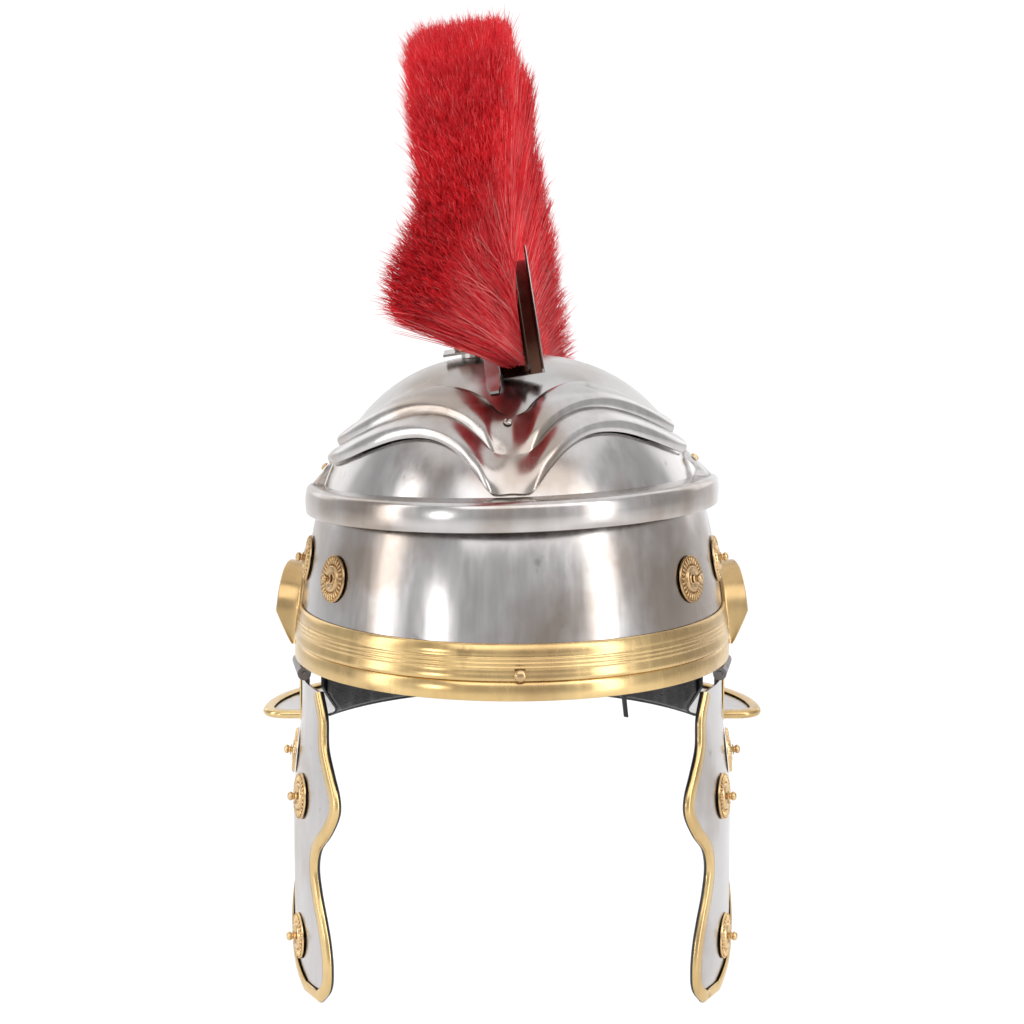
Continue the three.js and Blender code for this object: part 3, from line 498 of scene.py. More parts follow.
# %% [markdown]
# The brow guard is an L-shaped peak. Its flange meets the bowl all round the front, bends over in a soft
# corner, and hangs down as a plain band; at both ends the flange turns up against the bowl. One section
# with rounded bends, carried round the front, makes it in one go.

# %% Brow guard
GUARD = {"front": 120, "half_width": 103.5, "top": 91.7, "height": 14, "droop": 4, "bend": 3.0,
         "tab_rise": 14, "tab_start": 1.5, "tab_full": 5, "tab_end": 9}


def guard_root(degrees):
    """Height of the flange at its front corner, and where it meets the bowl."""
    plate_end = -BROW["from"] if degrees < 0 else BROW["to"]
    turn = math.radians(degrees)
    top = GUARD["top"] - GUARD["droop"] * (1 - math.cos(turn)) ** 1.2 + tilt_rise(degrees, GUARD["top"])
    past = abs(degrees) - plate_end
    return top, top + GUARD["tab_rise"] * smoothstep(past, GUARD["tab_start"], GUARD["tab_full"])


def guard_lip(degrees, drop, inset):
    turn = math.radians(degrees)
    return Vector(((GUARD["half_width"] - inset) * math.sin(turn),
                   -(GUARD["front"] - inset) * math.cos(turn), guard_root(degrees)[0] - drop))


def guard_section(degrees):
    height, bend = GUARD["height"], GUARD["bend"]
    inner_bend = bend - SHEET

    def lip(drop, inset):
        return guard_lip(degrees, drop, inset)

    root = guard_root(degrees)[1]
    upper_root = bowl_point(degrees, root, GAP)
    points = [upper_root]
    points += [upper_root.lerp(lip(0.0, bend), s) for s in (0.33, 0.66)]
    points += [lip(bend * (1 - math.cos(a)), bend * (1 - math.sin(a))) for a in radians(0, 22, 45, 68, 90)]
    points += [lip(height * s, -0.5 * math.sin(math.pi * s)) for s in (0.4, 0.6, 0.8)]
    points += [lip(height - 0.5, 0.0), lip(height, SHEET / 2), lip(height - 0.5, SHEET)]
    points += [lip(height * s, SHEET) for s in (0.7, 0.45)]
    points += [lip(SHEET + inner_bend * (1 - math.cos(a)) + 0.3, bend - inner_bend * math.sin(a))
               for a in radians(90, 50, 10)]
    points.append(bowl_point(degrees, root - SHEET, GAP))
    return points


stations = [BROW["from"] - GUARD["tab_end"] + i * (BROW["to"] - BROW["from"] + 2 * GUARD["tab_end"]) / 170
            for i in range(171)]
brow_guard = loft("brow_guard_steel", [guard_section(d) for d in stations], sharp=50)
dress(brow_guard, steel, "helmet", "polished_steel", "brow_guard")
print("brow guard faces:", len(brow_guard.data.polygons))

# %% [markdown]
# The brass band above the rim has a wide rounded shoulder, three fine reeds and a flat foot. Under it, a
# second strip wraps the rim. Both are sections in steps outward from the bowl, carried round the front.

# %% Brow band and rim edging
BAND = {"bottom": 8.2, "top": 25.4, "reeds": 3, "reed_top": 19.2, "reed_width": 1.95, "end": 87.5}


def strip(name, section, steps=150):
    """A section, as pairs of distance off the bowl and height, carried round the front."""
    loops = []
    for i in range(steps + 1):
        degrees = -BAND["end"] + 2 * BAND["end"] * i / steps
        loops.append([bowl_point(degrees, z, off) for off, z in section])
    return loft(name, loops, sharp=50)


base = BAND["bottom"]
section = [(0, BAND["top"]), (0, base), (1.5, base), (2.0, base + 0.35), (2.2, base + 1.6),
           (2.05, base + 3.4), (1.6, base + 4.9)]
for reed in range(BAND["reeds"]):
    low = BAND["reed_top"] - BAND["reed_width"] * (BAND["reeds"] - reed)
    for step in range(1, 8):
        swell = 0.75 * math.sin(math.pi * step / 8) ** 0.7
        section.append((1.3 + swell, low + BAND["reed_width"] * step / 8))
section += [(1.45, 19.3), (1.75, 20.4), (1.7, 22.2), (1.25, 24.2), (0.8, 25.3), (0.6, BAND["top"])]
band = strip("brow_band_brass", [(GAP + off, z) for off, z in section])
dress(band, brass, "helmet", "brass", "brow_band")

rim = [(GAP, 7.9), (GAP, -GAP), (-SHEET, -GAP), (-SHEET - 0.1, -GAP - 0.5), (-SHEET + 0.2, -GAP - 0.9)]
rim += [(GAP + 0.2 + 0.7 * math.cos(a), -GAP - 0.2 + 0.7 * math.sin(a)) for a in radians(-90, -60, -30, 0)]
rim += [(GAP + off, z) for off, z in ((1.1, 2.0), (1.35, 4.0), (1.1, 6.2), (0.7, 7.6), (0.4, 7.9))]
rim_edging = strip("rim_edging_brass", rim)
dress(rim_edging, brass, "helmet", "brass", "rim_edging")
print("band and edging faces:", len(band.data.polygons), len(rim_edging.data.polygons))

# %% [markdown]
# Over each ear, a brass flange keeps blows off. Its foot lies on the bowl and its lip stands out square,
# highest at the top of the arch, with rounded edges. Left and right are the same section, mirrored.

# %% Ear guards
EAR_GUARD = {"foot": 7, "reach": 13.5, "thickness": 1.0, "lowest": 2}


def ear_guard(side, word):
    inner = EAR["half_width"] + GAP
    places = [(math.pi, EAR_GUARD["lowest"] + (EAR["springing"] - EAR_GUARD["lowest"]) * i / 10, i / 10)
              for i in range(10)]
    places += [(math.pi * (1 - i / 44), EAR["springing"], 1) for i in range(45)]
    places += [(0, h, s) for _, h, s in reversed(places[:10])]
    loops = []
    for turn, rise, share in places:
        def at(radius, off, turn=turn, rise=rise):
            y = EAR["middle"] + radius * math.cos(turn)
            z = rise + radius * math.sin(turn)
            return Vector((side * (bowl_side(y, z) + off), y, z))
        lip = 4 + (EAR_GUARD["reach"] - 4) * share ** 0.9
        t, foot = EAR_GUARD["thickness"], EAR_GUARD["foot"]
        loops.append([
            at(inner, GAP), at(inner + foot - 0.4, GAP), at(inner + foot, GAP + 0.5),
            at(inner + foot - 0.4, GAP + t),
            at(inner + t + 1.8, GAP + t), at(inner + t + 0.6, GAP + t + 0.5),
            at(inner + t, GAP + t + 1.8), at(inner + t, lip * 0.7), at(inner + t + 0.3, lip - 0.5),
            at(inner + t * 0.5, lip), at(inner, lip - 0.4), at(inner, lip * 0.5),
        ])
    piece = loft(f"ear_guard_{word}_brass", loops, sharp=50)
    return dress(piece, brass, "helmet", "brass", f"ear_guard_{word}")


for side, word in SIDES:
    print(word, "ear guard faces:", len(ear_guard(side, word).data.polygons))

# %% [markdown]
# Ten brass rosettes hold the helmet's rivets. Each is a dished disc with a ring of cast flutes and a raised
# rim in the middle. The flutes repeat, so Geometry Nodes make them: one flute is instanced on a row of
# points and turned by its index. The disc is then copied to all ten places.

# %% A node tree that repeats a piece round an axis
def new_tree(name, **inputs):
    """A geometry tree with inputs of given kinds beside its Geometry, their keys, and its input sockets."""
    tree = bpy.data.node_groups.new(name, "GeometryNodeTree")
    face = tree.interface
    face.new_socket("Geometry", in_out="INPUT", socket_type="NodeSocketGeometry")
    keys = {}
    for label, kind in inputs.items():
        keys[label] = face.new_socket(label, in_out="INPUT", socket_type="NodeSocket" + kind).identifier
    face.new_socket("Geometry", in_out="OUTPUT", socket_type="NodeSocketGeometry")
    return tree, keys, put(tree, "NodeGroupInput")


def end_tree(tree, geometry, material):
    """Gives the geometry its material and sends it out."""
    painted = put(tree, "GeometryNodeSetMaterial", {"Geometry": geometry, "Material": material})
    put(tree, "NodeGroupOutput", {0: painted[0]})


def run_tree(piece, tree, keys, **values):
    """Runs a tree on a piece, with values for its inputs, and keeps what it makes as a plain mesh."""
    modifier = piece.modifiers.new(tree.name, "NODES")
    modifier.node_group = tree
    for label, value in values.items():
        modifier[keys[label]] = value
    return applied(piece)


def ring_tree(name):
    tree, keys, given = new_tree(name, Piece="Object", Count="Int", Material="Material")
    step = put(tree, "ShaderNodeMath", {0: 2 * math.pi, 1: given["Count"]}, operation="DIVIDE")[0]
    index = put(tree, "GeometryNodeInputIndex")[0]
    turn = put(tree, "ShaderNodeMath", {0: index, 1: step}, operation="MULTIPLY")[0]
    angles = put(tree, "ShaderNodeCombineXYZ", {"Z": turn})[0]
    points = put(tree, "GeometryNodeMeshLine", {"Offset": (0, 0, 0), "Count": given["Count"]})["Mesh"]
    piece = put(tree, "GeometryNodeObjectInfo", {"Object": given["Piece"]})["Geometry"]
    copies = put(tree, "GeometryNodeInstanceOnPoints",
                 {"Points": points, "Instance": piece, "Rotation": angles})["Instances"]
    joined = tree.nodes.new("GeometryNodeJoinGeometry")
    for geometry in (copies, given["Geometry"]):
        tree.links.new(geometry, joined.inputs["Geometry"])
    real = put(tree, "GeometryNodeRealizeInstances", {0: joined.outputs[0]})[0]
    end_tree(tree, real, given["Material"])
    return tree, keys


flute_tree, flute_inputs = ring_tree("flutes_round_a_disc")
print("tree inputs:", flute_inputs)

# %% [markdown]
# The disc and the rivet are turned on a lathe, from pairs of radius and height. The rivet stands up in a
# knob, as a small turned finial, and goes through the hole of the disc. A rosette is placed by the spot it
# stands on and the direction that it faces.

# %% Rosettes and their knobbed rivets
FLUTE = {"count": 28, "half_sizes": (2.15, 0.66, 0.75), "place": (8.85, 0, 0.95)}
DISH = [(1.7, 0), (11.6, 0), (11.6, 0.5), (11.3, 0.9), (10.9, 0.8), (6.7, 0.9), (6.35, 1.6), (5.9, 2.05),
        (5.3, 2.2), (4.8, 1.95), (4.45, 1.3), (3.0, 1.2), (2.7, 1.7), (1.7, 1.7)]
KNOB = [(0, 0), (1.35, 0), (1.35, 2.65), (2.6, 2.65), (2.75, 3.0), (2.3, 3.35), (1.6, 3.6), (1.55, 3.85),
        (2.0, 4.25), (2.3, 5.0), (2.05, 5.85), (1.25, 6.4), (0, 6.6)]


def flute():
    mesh = bpy.data.meshes.new("flute")
    shape = bmesh.new()
    bmesh.ops.create_uvsphere(shape, u_segments=8, v_segments=6, radius=1)
    bmesh.ops.transform(shape, verts=shape.verts, matrix=Matrix.Diagonal((*FLUTE["half_sizes"], 1)))
    bmesh.ops.translate(shape, verts=shape.verts, vec=FLUTE["place"])
    bmesh.ops.scale(shape, verts=shape.verts, vec=(MM, MM, MM))
    shape.to_mesh(mesh)
    shape.free()
    mesh.shade_smooth()
    return bpy.data.objects.new("flute", mesh)


flute_piece = flute()
disc = turned("disc", DISH, 56, (0, 0, 0), (0, 0, 1), sharp=60)
run_tree(disc, flute_tree, flute_inputs, Piece=flute_piece, Count=FLUTE["count"], Material=bright_brass)
knob = turned("knob", KNOB, 24, (0, 0, 0), (0, 0, 1), sharp=50)
MODELS = {"": disc.data, "_knob": knob.data}
for model in (flute_piece, disc, knob):
    bpy.data.objects.remove(model, do_unlink=True)


def stand(name, mesh, place, direction):
    """A copy of a small mesh, standing at a place and facing a direction."""
    copy = mesh.copy()
    turn = Vector((0, 0, 1)).rotation_difference(direction).to_matrix().to_4x4()
    copy.transform(Matrix.Translation(Vector(place) * MM) @ turn)
    copy.materials.clear()
    return add_object(name, copy)


def rosette(node, place, direction, body):
    foot = Vector(place) + direction * GAP
    for suffix, mesh in MODELS.items():
        piece = stand(node + suffix + "_brass", mesh, foot, direction)
        dress(piece, bright_brass, body, "brass", node + suffix)


for side, word in SIDES:
    for node, degrees, z in (("brow_rosette", 56.5, 46.5), ("temple_rosette", 80.5, 49.5)):
        place = (side * degrees, z)
        rosette(f"{node}_{word}", bowl_point(*place), bowl_normal(*place), "helmet")
print("rosette and knob faces:", [len(mesh.polygons) for mesh in MODELS.values()])

# %% [markdown]
# A cheek guard is a thin curved sheet that follows the jaw, with a wavy front edge that leaves the eyes and
# the mouth free. A folded brass strip covers its whole edge except the hinge. The same folding helper then
# makes the strip round the neck guard.

# %% Cheek guards
CHEEK = {"width": 111, "top_width": 105.95, "length": 122, "thickness": SHEET}
CHEEK_EDGES = table(
    ("z", "front", "rear"),
    (-10.6, -57, 1), (-22, -62.5, 3), (-36, -65, 13), (-48, -72, 27), (-58, -77.5, 33),
    (-67, -78.5, 35), (-78, -73, 36), (-88, -64, 35), (-98, -61, 32), (-110, -63.5, 26),
    (-122, -68, 17), (-134, -71.5, 4), (-147, -73, -13), (-157, -71.5, -30), (-164, -65, -48),
)
CHEEK_TOP, CHEEK_BOTTOM = CHEEK_EDGES[0]["z"], CHEEK_EDGES[-1]["z"]


def cheek_point(side, y, z, off=0.0):
    """A place on the cheek guard's sheet, which bulges below the hinge."""
    swell = smoothstep(CHEEK_TOP - z, 6, 70)
    width = CHEEK["top_width"] + (CHEEK["width"] - CHEEK["top_width"]) * swell + off
    return Vector((side * width * math.sqrt(1 - (y / (CHEEK["length"] + off)) ** 2), y, z))


def cheek_normal(side, y, z, step=0.5):
    along = cheek_point(side, y + step, z) - cheek_point(side, y - step, z)
    up = cheek_point(side, y, z + step) - cheek_point(side, y, z - step)
    return (along.cross(up) * side).normalized()


def cheek_edge(name, z):
    return column(CHEEK_EDGES, "z", name, z)


def folded_edging(name, places, half, inward, depth=4.6, thickness=0.8):
    """A folded strip over a sheet's edge, from pairs of a point on the sheet's middle and its normal."""
    loops = []
    for i, (point, normal) in enumerate(places):
        arrive = point - places[max(i - 1, 0)][0]
        leave = places[min(i + 1, len(places) - 1)][0] - point
        arrive = leave if arrive.length < 1e-6 else arrive
        leave = arrive if leave.length < 1e-6 else leave
        d1 = (normal.cross(arrive.normalized()) * inward).normalized()
        d2 = (normal.cross(leave.normalized()) * inward).normalized()
        miter = (d1 + d2) / (1 + d1.dot(d2))
        face = half + GAP + 0.35
        outside = face + thickness

        def at(out, deep, point=point, normal=normal, miter=miter):
            return point + normal * out + miter * deep

        back = -GAP - thickness
        loop = [at(-outside + 0.25, depth), at(-outside, depth - 0.4), at(-outside, 0.6)]
        loop += [at(-outside * math.cos(a), 0.6 - (0.6 - back) * math.sin(a))
                 for a in radians(25, 50, 70, 90, 110, 130, 155)]
        loop += [at(outside, 0.6), at(outside, depth - 0.4), at(outside - 0.25, depth)]
        loop += [at(face, depth), at(face, -GAP * 0.5), at(face * 0.5, -GAP), at(-face * 0.5, -GAP),
                 at(-face, -GAP * 0.5), at(-face, depth)]
        loops.append(loop)
    return loft(name, loops, sharp=60)


def cheek(side, word):
    body, half, steps = f"cheek_{word}", CHEEK["thickness"] / 2, 96

    def outward(place):
        return Vector((side, place.y * 6, 0))

    def face(off):
        def at(s, t):
            z = CHEEK_TOP + (CHEEK_BOTTOM - CHEEK_TOP) * t
            front = cheek_edge("front", z)
            return cheek_point(side, front + (cheek_edge("rear", z) - front) * s, z, off)
        return at

    plate = sheet(f"cheek_guard_{word}_steel", 40, steps, face(half), face(-half))
    dress(plate, steel, body, "polished_steel", f"cheek_guard_{word}")
    # The cheek guard's inward faces are black: painted shade on its inner side.
    shade_inside(plate, shade_black, outward)
    places = []
    heights = [CHEEK_TOP + (CHEEK_BOTTOM - CHEEK_TOP) * i / steps for i in range(steps + 1)]
    for name, order in (("front", heights), ("rear", heights[::-1])):
        for z in order:
            y = cheek_edge(name, z)
            places.append((cheek_point(side, y, z), cheek_normal(side, y, z)))
    trim = folded_edging(f"cheek_trim_{word}_brass", places, half, side)
    dress(trim, brass, body, "brass", f"cheek_trim_{word}")
    # The trim's inner leg is black as well: painted shade beside the cheek guard's edge.
    shade_inside(trim, shade_black, outward, below=-0.2)
    for name, y, z in (("rear", -9, -51), ("front", -40, -67), ("low", -36, -140)):
        place, direction = cheek_point(side, y, z, half), cheek_normal(side, y, z)
        rosette(f"cheek_rosette_{name}_{word}", place, direction, body)
    return plate, trim


for side, word in SIDES:
    plate, trim = cheek(side, word)
    print(word, "cheek faces:", len(plate.data.polygons), "trim faces:", len(trim.data.polygons))

# %% [markdown]
# The same folded strip wraps the neck guard's edge, from one side of the bowl round the back to the other.
# Its two ends stop short of the bowl.

# %% Neck guard's edge
END_GAP = 3
edge = [Vector((x, y, -BOWL["nape_drop"] - SHEET / 2)) for x, y in neck_edge()]
edge[0].x += END_GAP
edge[-1].x -= END_GAP
neck_trim = folded_edging("neck_trim_brass", [(p, Vector((0, 0, 1))) for p in edge], SHEET / 2, 1)
dress(neck_trim, brass, "helmet", "brass", "neck_trim")
print("neck trim faces:", len(neck_trim.data.polygons))

# %% [markdown]
# Small rivets hold the brow fittings: brass domes on the band and on the brow guard's ends, and a steel one
# on the brow plate. Each is turned like the knobs, stands on its surface and faces straight out.

# %% Rivets
def rivet(node, place, direction, radius, material, slot):
    profile = [(0, 0), (radius, 0), (radius, 0.12 * radius)]
    profile += [(radius * math.cos(a), radius * (0.12 + 0.54 * math.sin(a)))
                for a in radians(15, 30, 45, 60, 75, 90)]
    direction = Vector(direction).normalized()
    piece = turned(node + "_dome", profile, 24, Vector(place) + direction * GAP, direction, sharp=60)
    return dress(piece, material, "helmet", slot, node)


def guard_rivet_place(degrees):
    """The middle of the flange's end and the direction square to it."""
    def on_flange(d, s):
        return bowl_point(d, guard_root(d)[1], GAP).lerp(guard_lip(d, 0.2, 2.2), s)
    around = on_flange(degrees + 0.4, 0.4) - on_flange(degrees - 0.4, 0.4)
    across = on_flange(degrees, 0.5) - on_flange(degrees, 0.3)
    normal = around.cross(across).normalized()
    return on_flange(degrees, 0.4), normal if normal.z > 0 else -normal


place = (2, 11.1)
rivet("brow_band_rivet", bowl_point(*place, 2.6), bowl_normal(*place), 3, bright_brass, "brass")
place = (-1.5, 124.5)
rivet("brow_plate_rivet", bowl_point(*place, 2.05), bowl_normal(*place), 2, steel, "polished_steel")
for degrees, word in ((-88, "right"), (82, "left")):
    rivet(f"brow_guard_rivet_{word}", *guard_rivet_place(degrees), 2.2, bright_brass, "brass")
print("four rivets stand on the brow fittings")

# %% [markdown]
# The hinges, the crest's bracket, its post and its stud are plain bent plates and pins, so the packed
# model's own solids stay. They only need rounded edges, as filed metal has, and a finish: dark steel on the
# hinges, polished steel on the crest's holder.

# %% Plates and pins that stay as they are
KEPT = [f"{part}_{word}" for part in ("hinge_leaf", "hinge_pin", "cheek_leaf") for _, word in SIDES]
KEPT += ["crest_bracket", "crest_post", "crest_stud"]
for name in KEPT:
    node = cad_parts[name]
    for place in node.material_slots:
        place.material = steel if name.startswith("crest") else dark_steel
    rounding = node.modifiers.new("filed edges", "BEVEL")
    rounding.width = 0.25 * MM
    rounding.segments = 2
    rounding.limit_method = "ANGLE"
    rounding.angle_limit = math.radians(40)
    rounding.harden_normals = True
print("kept with rounded edges:", KEPT)

# %% [markdown]
# Inside the back of the bowl hangs a soft leather lining, gathered in shallow folds, and one thong comes out
# under it. The folds are a few sines of different lengths added together, so that they don't repeat.

# %% Lining and thong
LINING = {"from": 114, "to": 246, "low": -45, "top": 34, "off": -2.0, "thickness": 1.5}
THONG = {"angle": 143.4, "top": -30, "off": -3.9, "length": 27, "half_width": 1.75, "half_thickness": 0.6,
         "taper": 0.12}


def lining_face(inner):
    def face(s, t):
        degrees = LINING["from"] + (LINING["to"] - LINING["from"]) * s
        inset = min(degrees - LINING["from"], LINING["to"] - degrees)
        low = LINING["low"] + 12 * (1 - min(inset / 6, 1))
        z = low + (LINING["top"] - low) * t
        fold = 1.1 + 0.7 * math.sin(degrees * 0.62 + z * 0.05) + 0.4 * math.sin(degrees * 1.37 - z * 0.09)
        return bowl_point(degrees, z, LINING["off"] - (LINING["thickness"] + 0.6 * fold) * inner)
    return face


lining = sheet("lining_leather", 150, 40, lining_face(0), lining_face(1))
dress(lining, black_leather, "helmet", "black_leather", "lining")
foot = bowl_point(THONG["angle"], THONG["top"], THONG["off"])
turn = math.radians(THONG["angle"])
across = Vector((math.cos(turn), math.sin(turn), 0))
inwards = Vector((-foot.x, -foot.y, 0)).normalized()
loops = []
for i in range(29):
    share = i / 28
    z = THONG["top"] - THONG["length"] * share
    middle = Vector((foot.x, foot.y, z)) + inwards * (0.6 + 0.7 * math.sin(4.2 * share))
    middle += across * 0.8 * math.sin(3.1 * share)
    wide, thick = across * THONG["half_width"], inwards * THONG["half_thickness"]
    loops.append([middle + wide * math.cos(a) * (1 - THONG["taper"] * share) + thick * math.sin(a)
                  for a in radians(0, 20, 45, 90, 135, 160, 180, 200, 225, 270, 315, 340)])
thong = loft("thong_leather", loops, sharp=60)
dress(thong, black_leather, "helmet", "black_leather", "lining_thong")
print("lining and thong faces:", len(lining.data.polygons), len(thong.data.polygons))

# %% [markdown]
# The crest leans over to one side. Its base is a curved channel that holds a brown core, into which the hair
# is set. Both are sections carried along an arc in the crest's own tilted frame. The channel is trimmed with
# the bowl's outside, so that it sits down on the bowl. Its outer faces are steel. Its inner faces take the
# core's dark brown as painted shade inside the channel, and the edges beside the hair are brown like the
# core.

# %% Crest base
CREST = {"x": 5, "z": 146, "lean": math.radians(9), "arc_y": 22, "arc_h": -27, "inner": 0.004, "top": 0.07}
CHANNEL = (-71, 103)
CORE = (-70, 100)


def crest_world(x, y, h):
    """From the crest's own frame, across, back and up along its lean, to the helmet's."""
    c, s = math.cos(CREST["lean"]), math.sin(CREST["lean"])
    return Vector((CREST["x"] + x * c - h * s, y, CREST["z"] + x * s + h * c))


def crest_point(degrees, r, x):
    """A place on the crest's arc: 0 degrees is straight up and 90 the rear."""
    turn = math.radians(degrees)
    return crest_world(x, CREST["arc_y"] + r * math.sin(turn), CREST["arc_h"] + r * math.cos(turn))


def crest_strip(name, start, end, steps, section):
    angles = [start + (end - start) * i / steps for i in range(steps + 1)]
    return loft(name, [[crest_point(a, r, x) for r, x in section] for a in angles], sharp=50)


half = [(75, -10.8), (83.2, -10.8), (83.5, -10.5), (83.5, -9.9), (83.2, -9.6), (76.4, -9.6), (76.2, -9.4)]
channel = crest_strip("crest_channel_body", *CHANNEL, 120, half + [(r, -x) for r, x in reversed(half)])
combine(channel, loft("fill", bowl_loops(GAP, 56)), "DIFFERENCE")
dress(channel, steel, "helmet", "crest_base", "crest_channel")
# Second material: dark brown on the inward faces, as painted shade inside the channel, and on the edges
# beside the hair.
channel.data.materials.append(crest_base)
across, middle = crest_world(1, 0, 0) - crest_world(0, 0, 0), crest_world(0, 0, 0) * MM
for polygon in channel.data.polygons:
    inward = -polygon.normal.dot(across) * (polygon.center - middle).dot(across)
    away = polygon.normal.dot(polygon.center - crest_world(0, CREST["arc_y"], CREST["arc_h"]) * MM)
    if inward > CREST["inner"] or away > CREST["top"]:
        polygon.material_index = 1
section = [(76.6, -9), (77.6, -9), (77.6, 3), (90.3, 3), (90.6, 3.3), (90.6, 3.7), (90.3, 4), (76.6, 4)]
core = crest_strip("crest_core_body", *CORE, 100, section)
dress(core, crest_base, "helmet", "crest_base", "crest_core")
up = crest_world(0, 0, 1) - crest_world(0, 0, 0)
rivet("crest_bracket_rivet", crest_world(-28, -10.2, 10.7), up, 2.2, bright_brass, "brass")
print("crest base faces:", len(channel.data.polygons), len(core.data.polygons))

# %% [markdown]
# The brush is horse hair, set upright in the core and clipped to an arc. Its width and its lean change along
# the crest: at the front the tips lean over to the wearer's right. A table gives the tips' middle and half
# width at each angle. Inside, one fused dark body keeps the outer form, a few millimetres under the tips.
# Its dark red is painted shade deep between the hairs.

# %% The brush's form
BRUSH = {"root": 90, "tip": 199, "root_middle": -3.1, "root_half": 5.3, "start": -69, "end": 100,
         "body_side": 186, "body_top": 189}
TIPS = table(
    ("angle", "middle", "half"),
    (-71, -44, 13), (-62, -38.5, 14.5), (-56, -25, 16), (-50, -17, 18), (-36, -10, 23),
    (-18, -7, 24), (0, -5, 22), (18, -4, 23), (30, 0, 27), (42, -1, 26),
    (62, 0, 28), (103, 0, 28),
)


def brush_x(degrees, u, r, inset=0.0):
    """Where a hair stands across the crest: u runs from -1 to 1 between the brush's two flanks."""
    share = min(max((r - BRUSH["root"]) / (BRUSH["tip"] - BRUSH["root"]), 0), 1.05)
    share -= 0.12 * share * (1 - share)
    middle = column(TIPS, "angle", "middle", degrees)
    half = column(TIPS, "angle", "half", degrees) - inset
    root = BRUSH["root_middle"] + (BRUSH["root_half"] - inset * 0.3) * u
    return root + (middle + half * u - root) * share


def brush_loop(degrees):
    """A section of the fused body: up one flank, over the top, and down the other flank."""
    radii = [BRUSH["root"] + (BRUSH["body_side"] - BRUSH["root"]) * i / 12 for i in range(13)]
    loop = [crest_point(degrees, r, brush_x(degrees, -1, r, 3)) for r in radii]
    for u in (-0.85, -0.6, -0.3, 0, 0.3, 0.6, 0.85):
        crown = BRUSH["body_top"] + 1.5 * math.cos(u * 2.2)
        loop.append(crest_point(degrees, crown, brush_x(degrees, u, 190, 4.5)))
    return loop + [crest_point(degrees, r, brush_x(degrees, 1, r, 3)) for r in reversed(radii)]


brush_angles = [BRUSH["start"] + 2 + (BRUSH["end"] - BRUSH["start"] - 4) * i / 80 for i in range(81)]
brush_body = loft("brush_body", [brush_loop(a) for a in brush_angles], sharp=60)
print("brush body faces:", len(brush_body.data.polygons))

# %% [markdown]
# Hair colour differs from strand to strand, so the shader reads a number that each strand carries. The
# middle of its ramp is the hair's own reds. Its darkest red, at zero, is painted shade deep in the brush,
# and the pink at the top is a painted sheen on the brightest hairs. The coat is a little glossy.

# %% Hair material
def hair_material():
    material, tree, shader = new_material("red_hair")
    tone_and_sheen = put(tree, "ShaderNodeAttribute", attribute_name="tone_and_sheen")["Fac"]
    # Ramp: painted shade at the bottom, the hair's own reds in the middle, a pink painted sheen at the top.
    color = ramp(tree, tone_and_sheen, (0.0, (0.42, 0.003, 0.007)), (0.35, (0.70, 0.008, 0.014)),
                 (0.7, (0.88, 0.018, 0.032)), (0.9, (0.93, 0.09, 0.10)), (1.0, (0.94, 0.26, 0.25)))
    patches = ramp(tree, noise(tree, 34, 3), (0.4, grey(0.84)), (0.62, grey(1.0)))
    tree.links.new(mix(tree, 1.0, color, patches, "MULTIPLY"), shader.inputs["Base Color"])
    gloss = ramp(tree, tone_and_sheen, (0.0, grey(0.7)), (1.0, grey(0.38)))
    tree.links.new(gloss, shader.inputs["Roughness"])
    shader.inputs["Specular IOR Level"].default_value = 0.3
    return material


red_hair = hair_material()
# The body carries no per-strand value, so it takes the ramp's darkest red: painted shade deep in the brush.
dress(brush_body, red_hair, "helmet", "red_hair", "crest_brush")
print("hair:", red_hair.name)

# %% [markdown]
# Geometry Nodes grow the hair. The script gives each hair a root point with the middle and the tip of its
# curve. The tree puts a straight strand, one metre long, on every root, and then bends it: a vertex at
# height t moves to the curve at t, and its distance from the axis is laid square to the curve.

# %% A node tree that bends strands along curves
def strand_tree(name):
    tree, keys, given = new_tree(name, Strand="Object", Radius="Float", Material="Material")

    def vector(operation, *values):
        return put(tree, "ShaderNodeVectorMath", enumerate(values), operation=operation)[0]

    def scaled(value, factor):
        return put(tree, "ShaderNodeVectorMath", {0: value, "Scale": factor}, operation="SCALE")[0]

    def between(first, second, share):
        return put(tree, "ShaderNodeMix", {0: share, 4: first, 5: second}, data_type="VECTOR")[1]

    def named(name):
        found = put(tree, "GeometryNodeInputNamedAttribute", {"Name": name}, data_type="FLOAT_VECTOR")
        return found["Attribute"]

    here = put(tree, "GeometryNodeInputPosition")[0]
    roots = put(tree, "GeometryNodeStoreNamedAttribute",
                {"Geometry": given["Geometry"], "Name": "root", "Value": here}, data_type="FLOAT_VECTOR")[0]
    strand = put(tree, "GeometryNodeObjectInfo", {"Object": given["Strand"]})["Geometry"]
    copies = put(tree, "GeometryNodeInstanceOnPoints", {"Points": roots, "Instance": strand})[0]
    real = put(tree, "GeometryNodeRealizeInstances", {0: copies})[0]
    root, middle, tip = named("root"), named("middle"), named("tip")
    parts = put(tree, "ShaderNodeSeparateXYZ", {0: vector("SUBTRACT", here, root)})
    t = parts["Z"]
    early, late = between(root, middle, t), between(middle, tip, t)
    along = vector("NORMALIZE", vector("SUBTRACT", late, early))
    first = vector("NORMALIZE", vector("CROSS_PRODUCT", along, (1, 0, 0)))
    second = vector("CROSS_PRODUCT", along, first)
    flat = vector("ADD", scaled(first, parts["X"]), scaled(second, parts["Y"]))
    bent = vector("ADD", between(early, late, t), scaled(flat, given["Radius"]))
    placed = put(tree, "GeometryNodeSetPosition", {"Geometry": real, "Position": bent})[0]
    end_tree(tree, placed, given["Material"])
    return tree, keys


hair_tree, hair_inputs = strand_tree("hair_on_roots")
print("tree inputs:", hair_inputs)

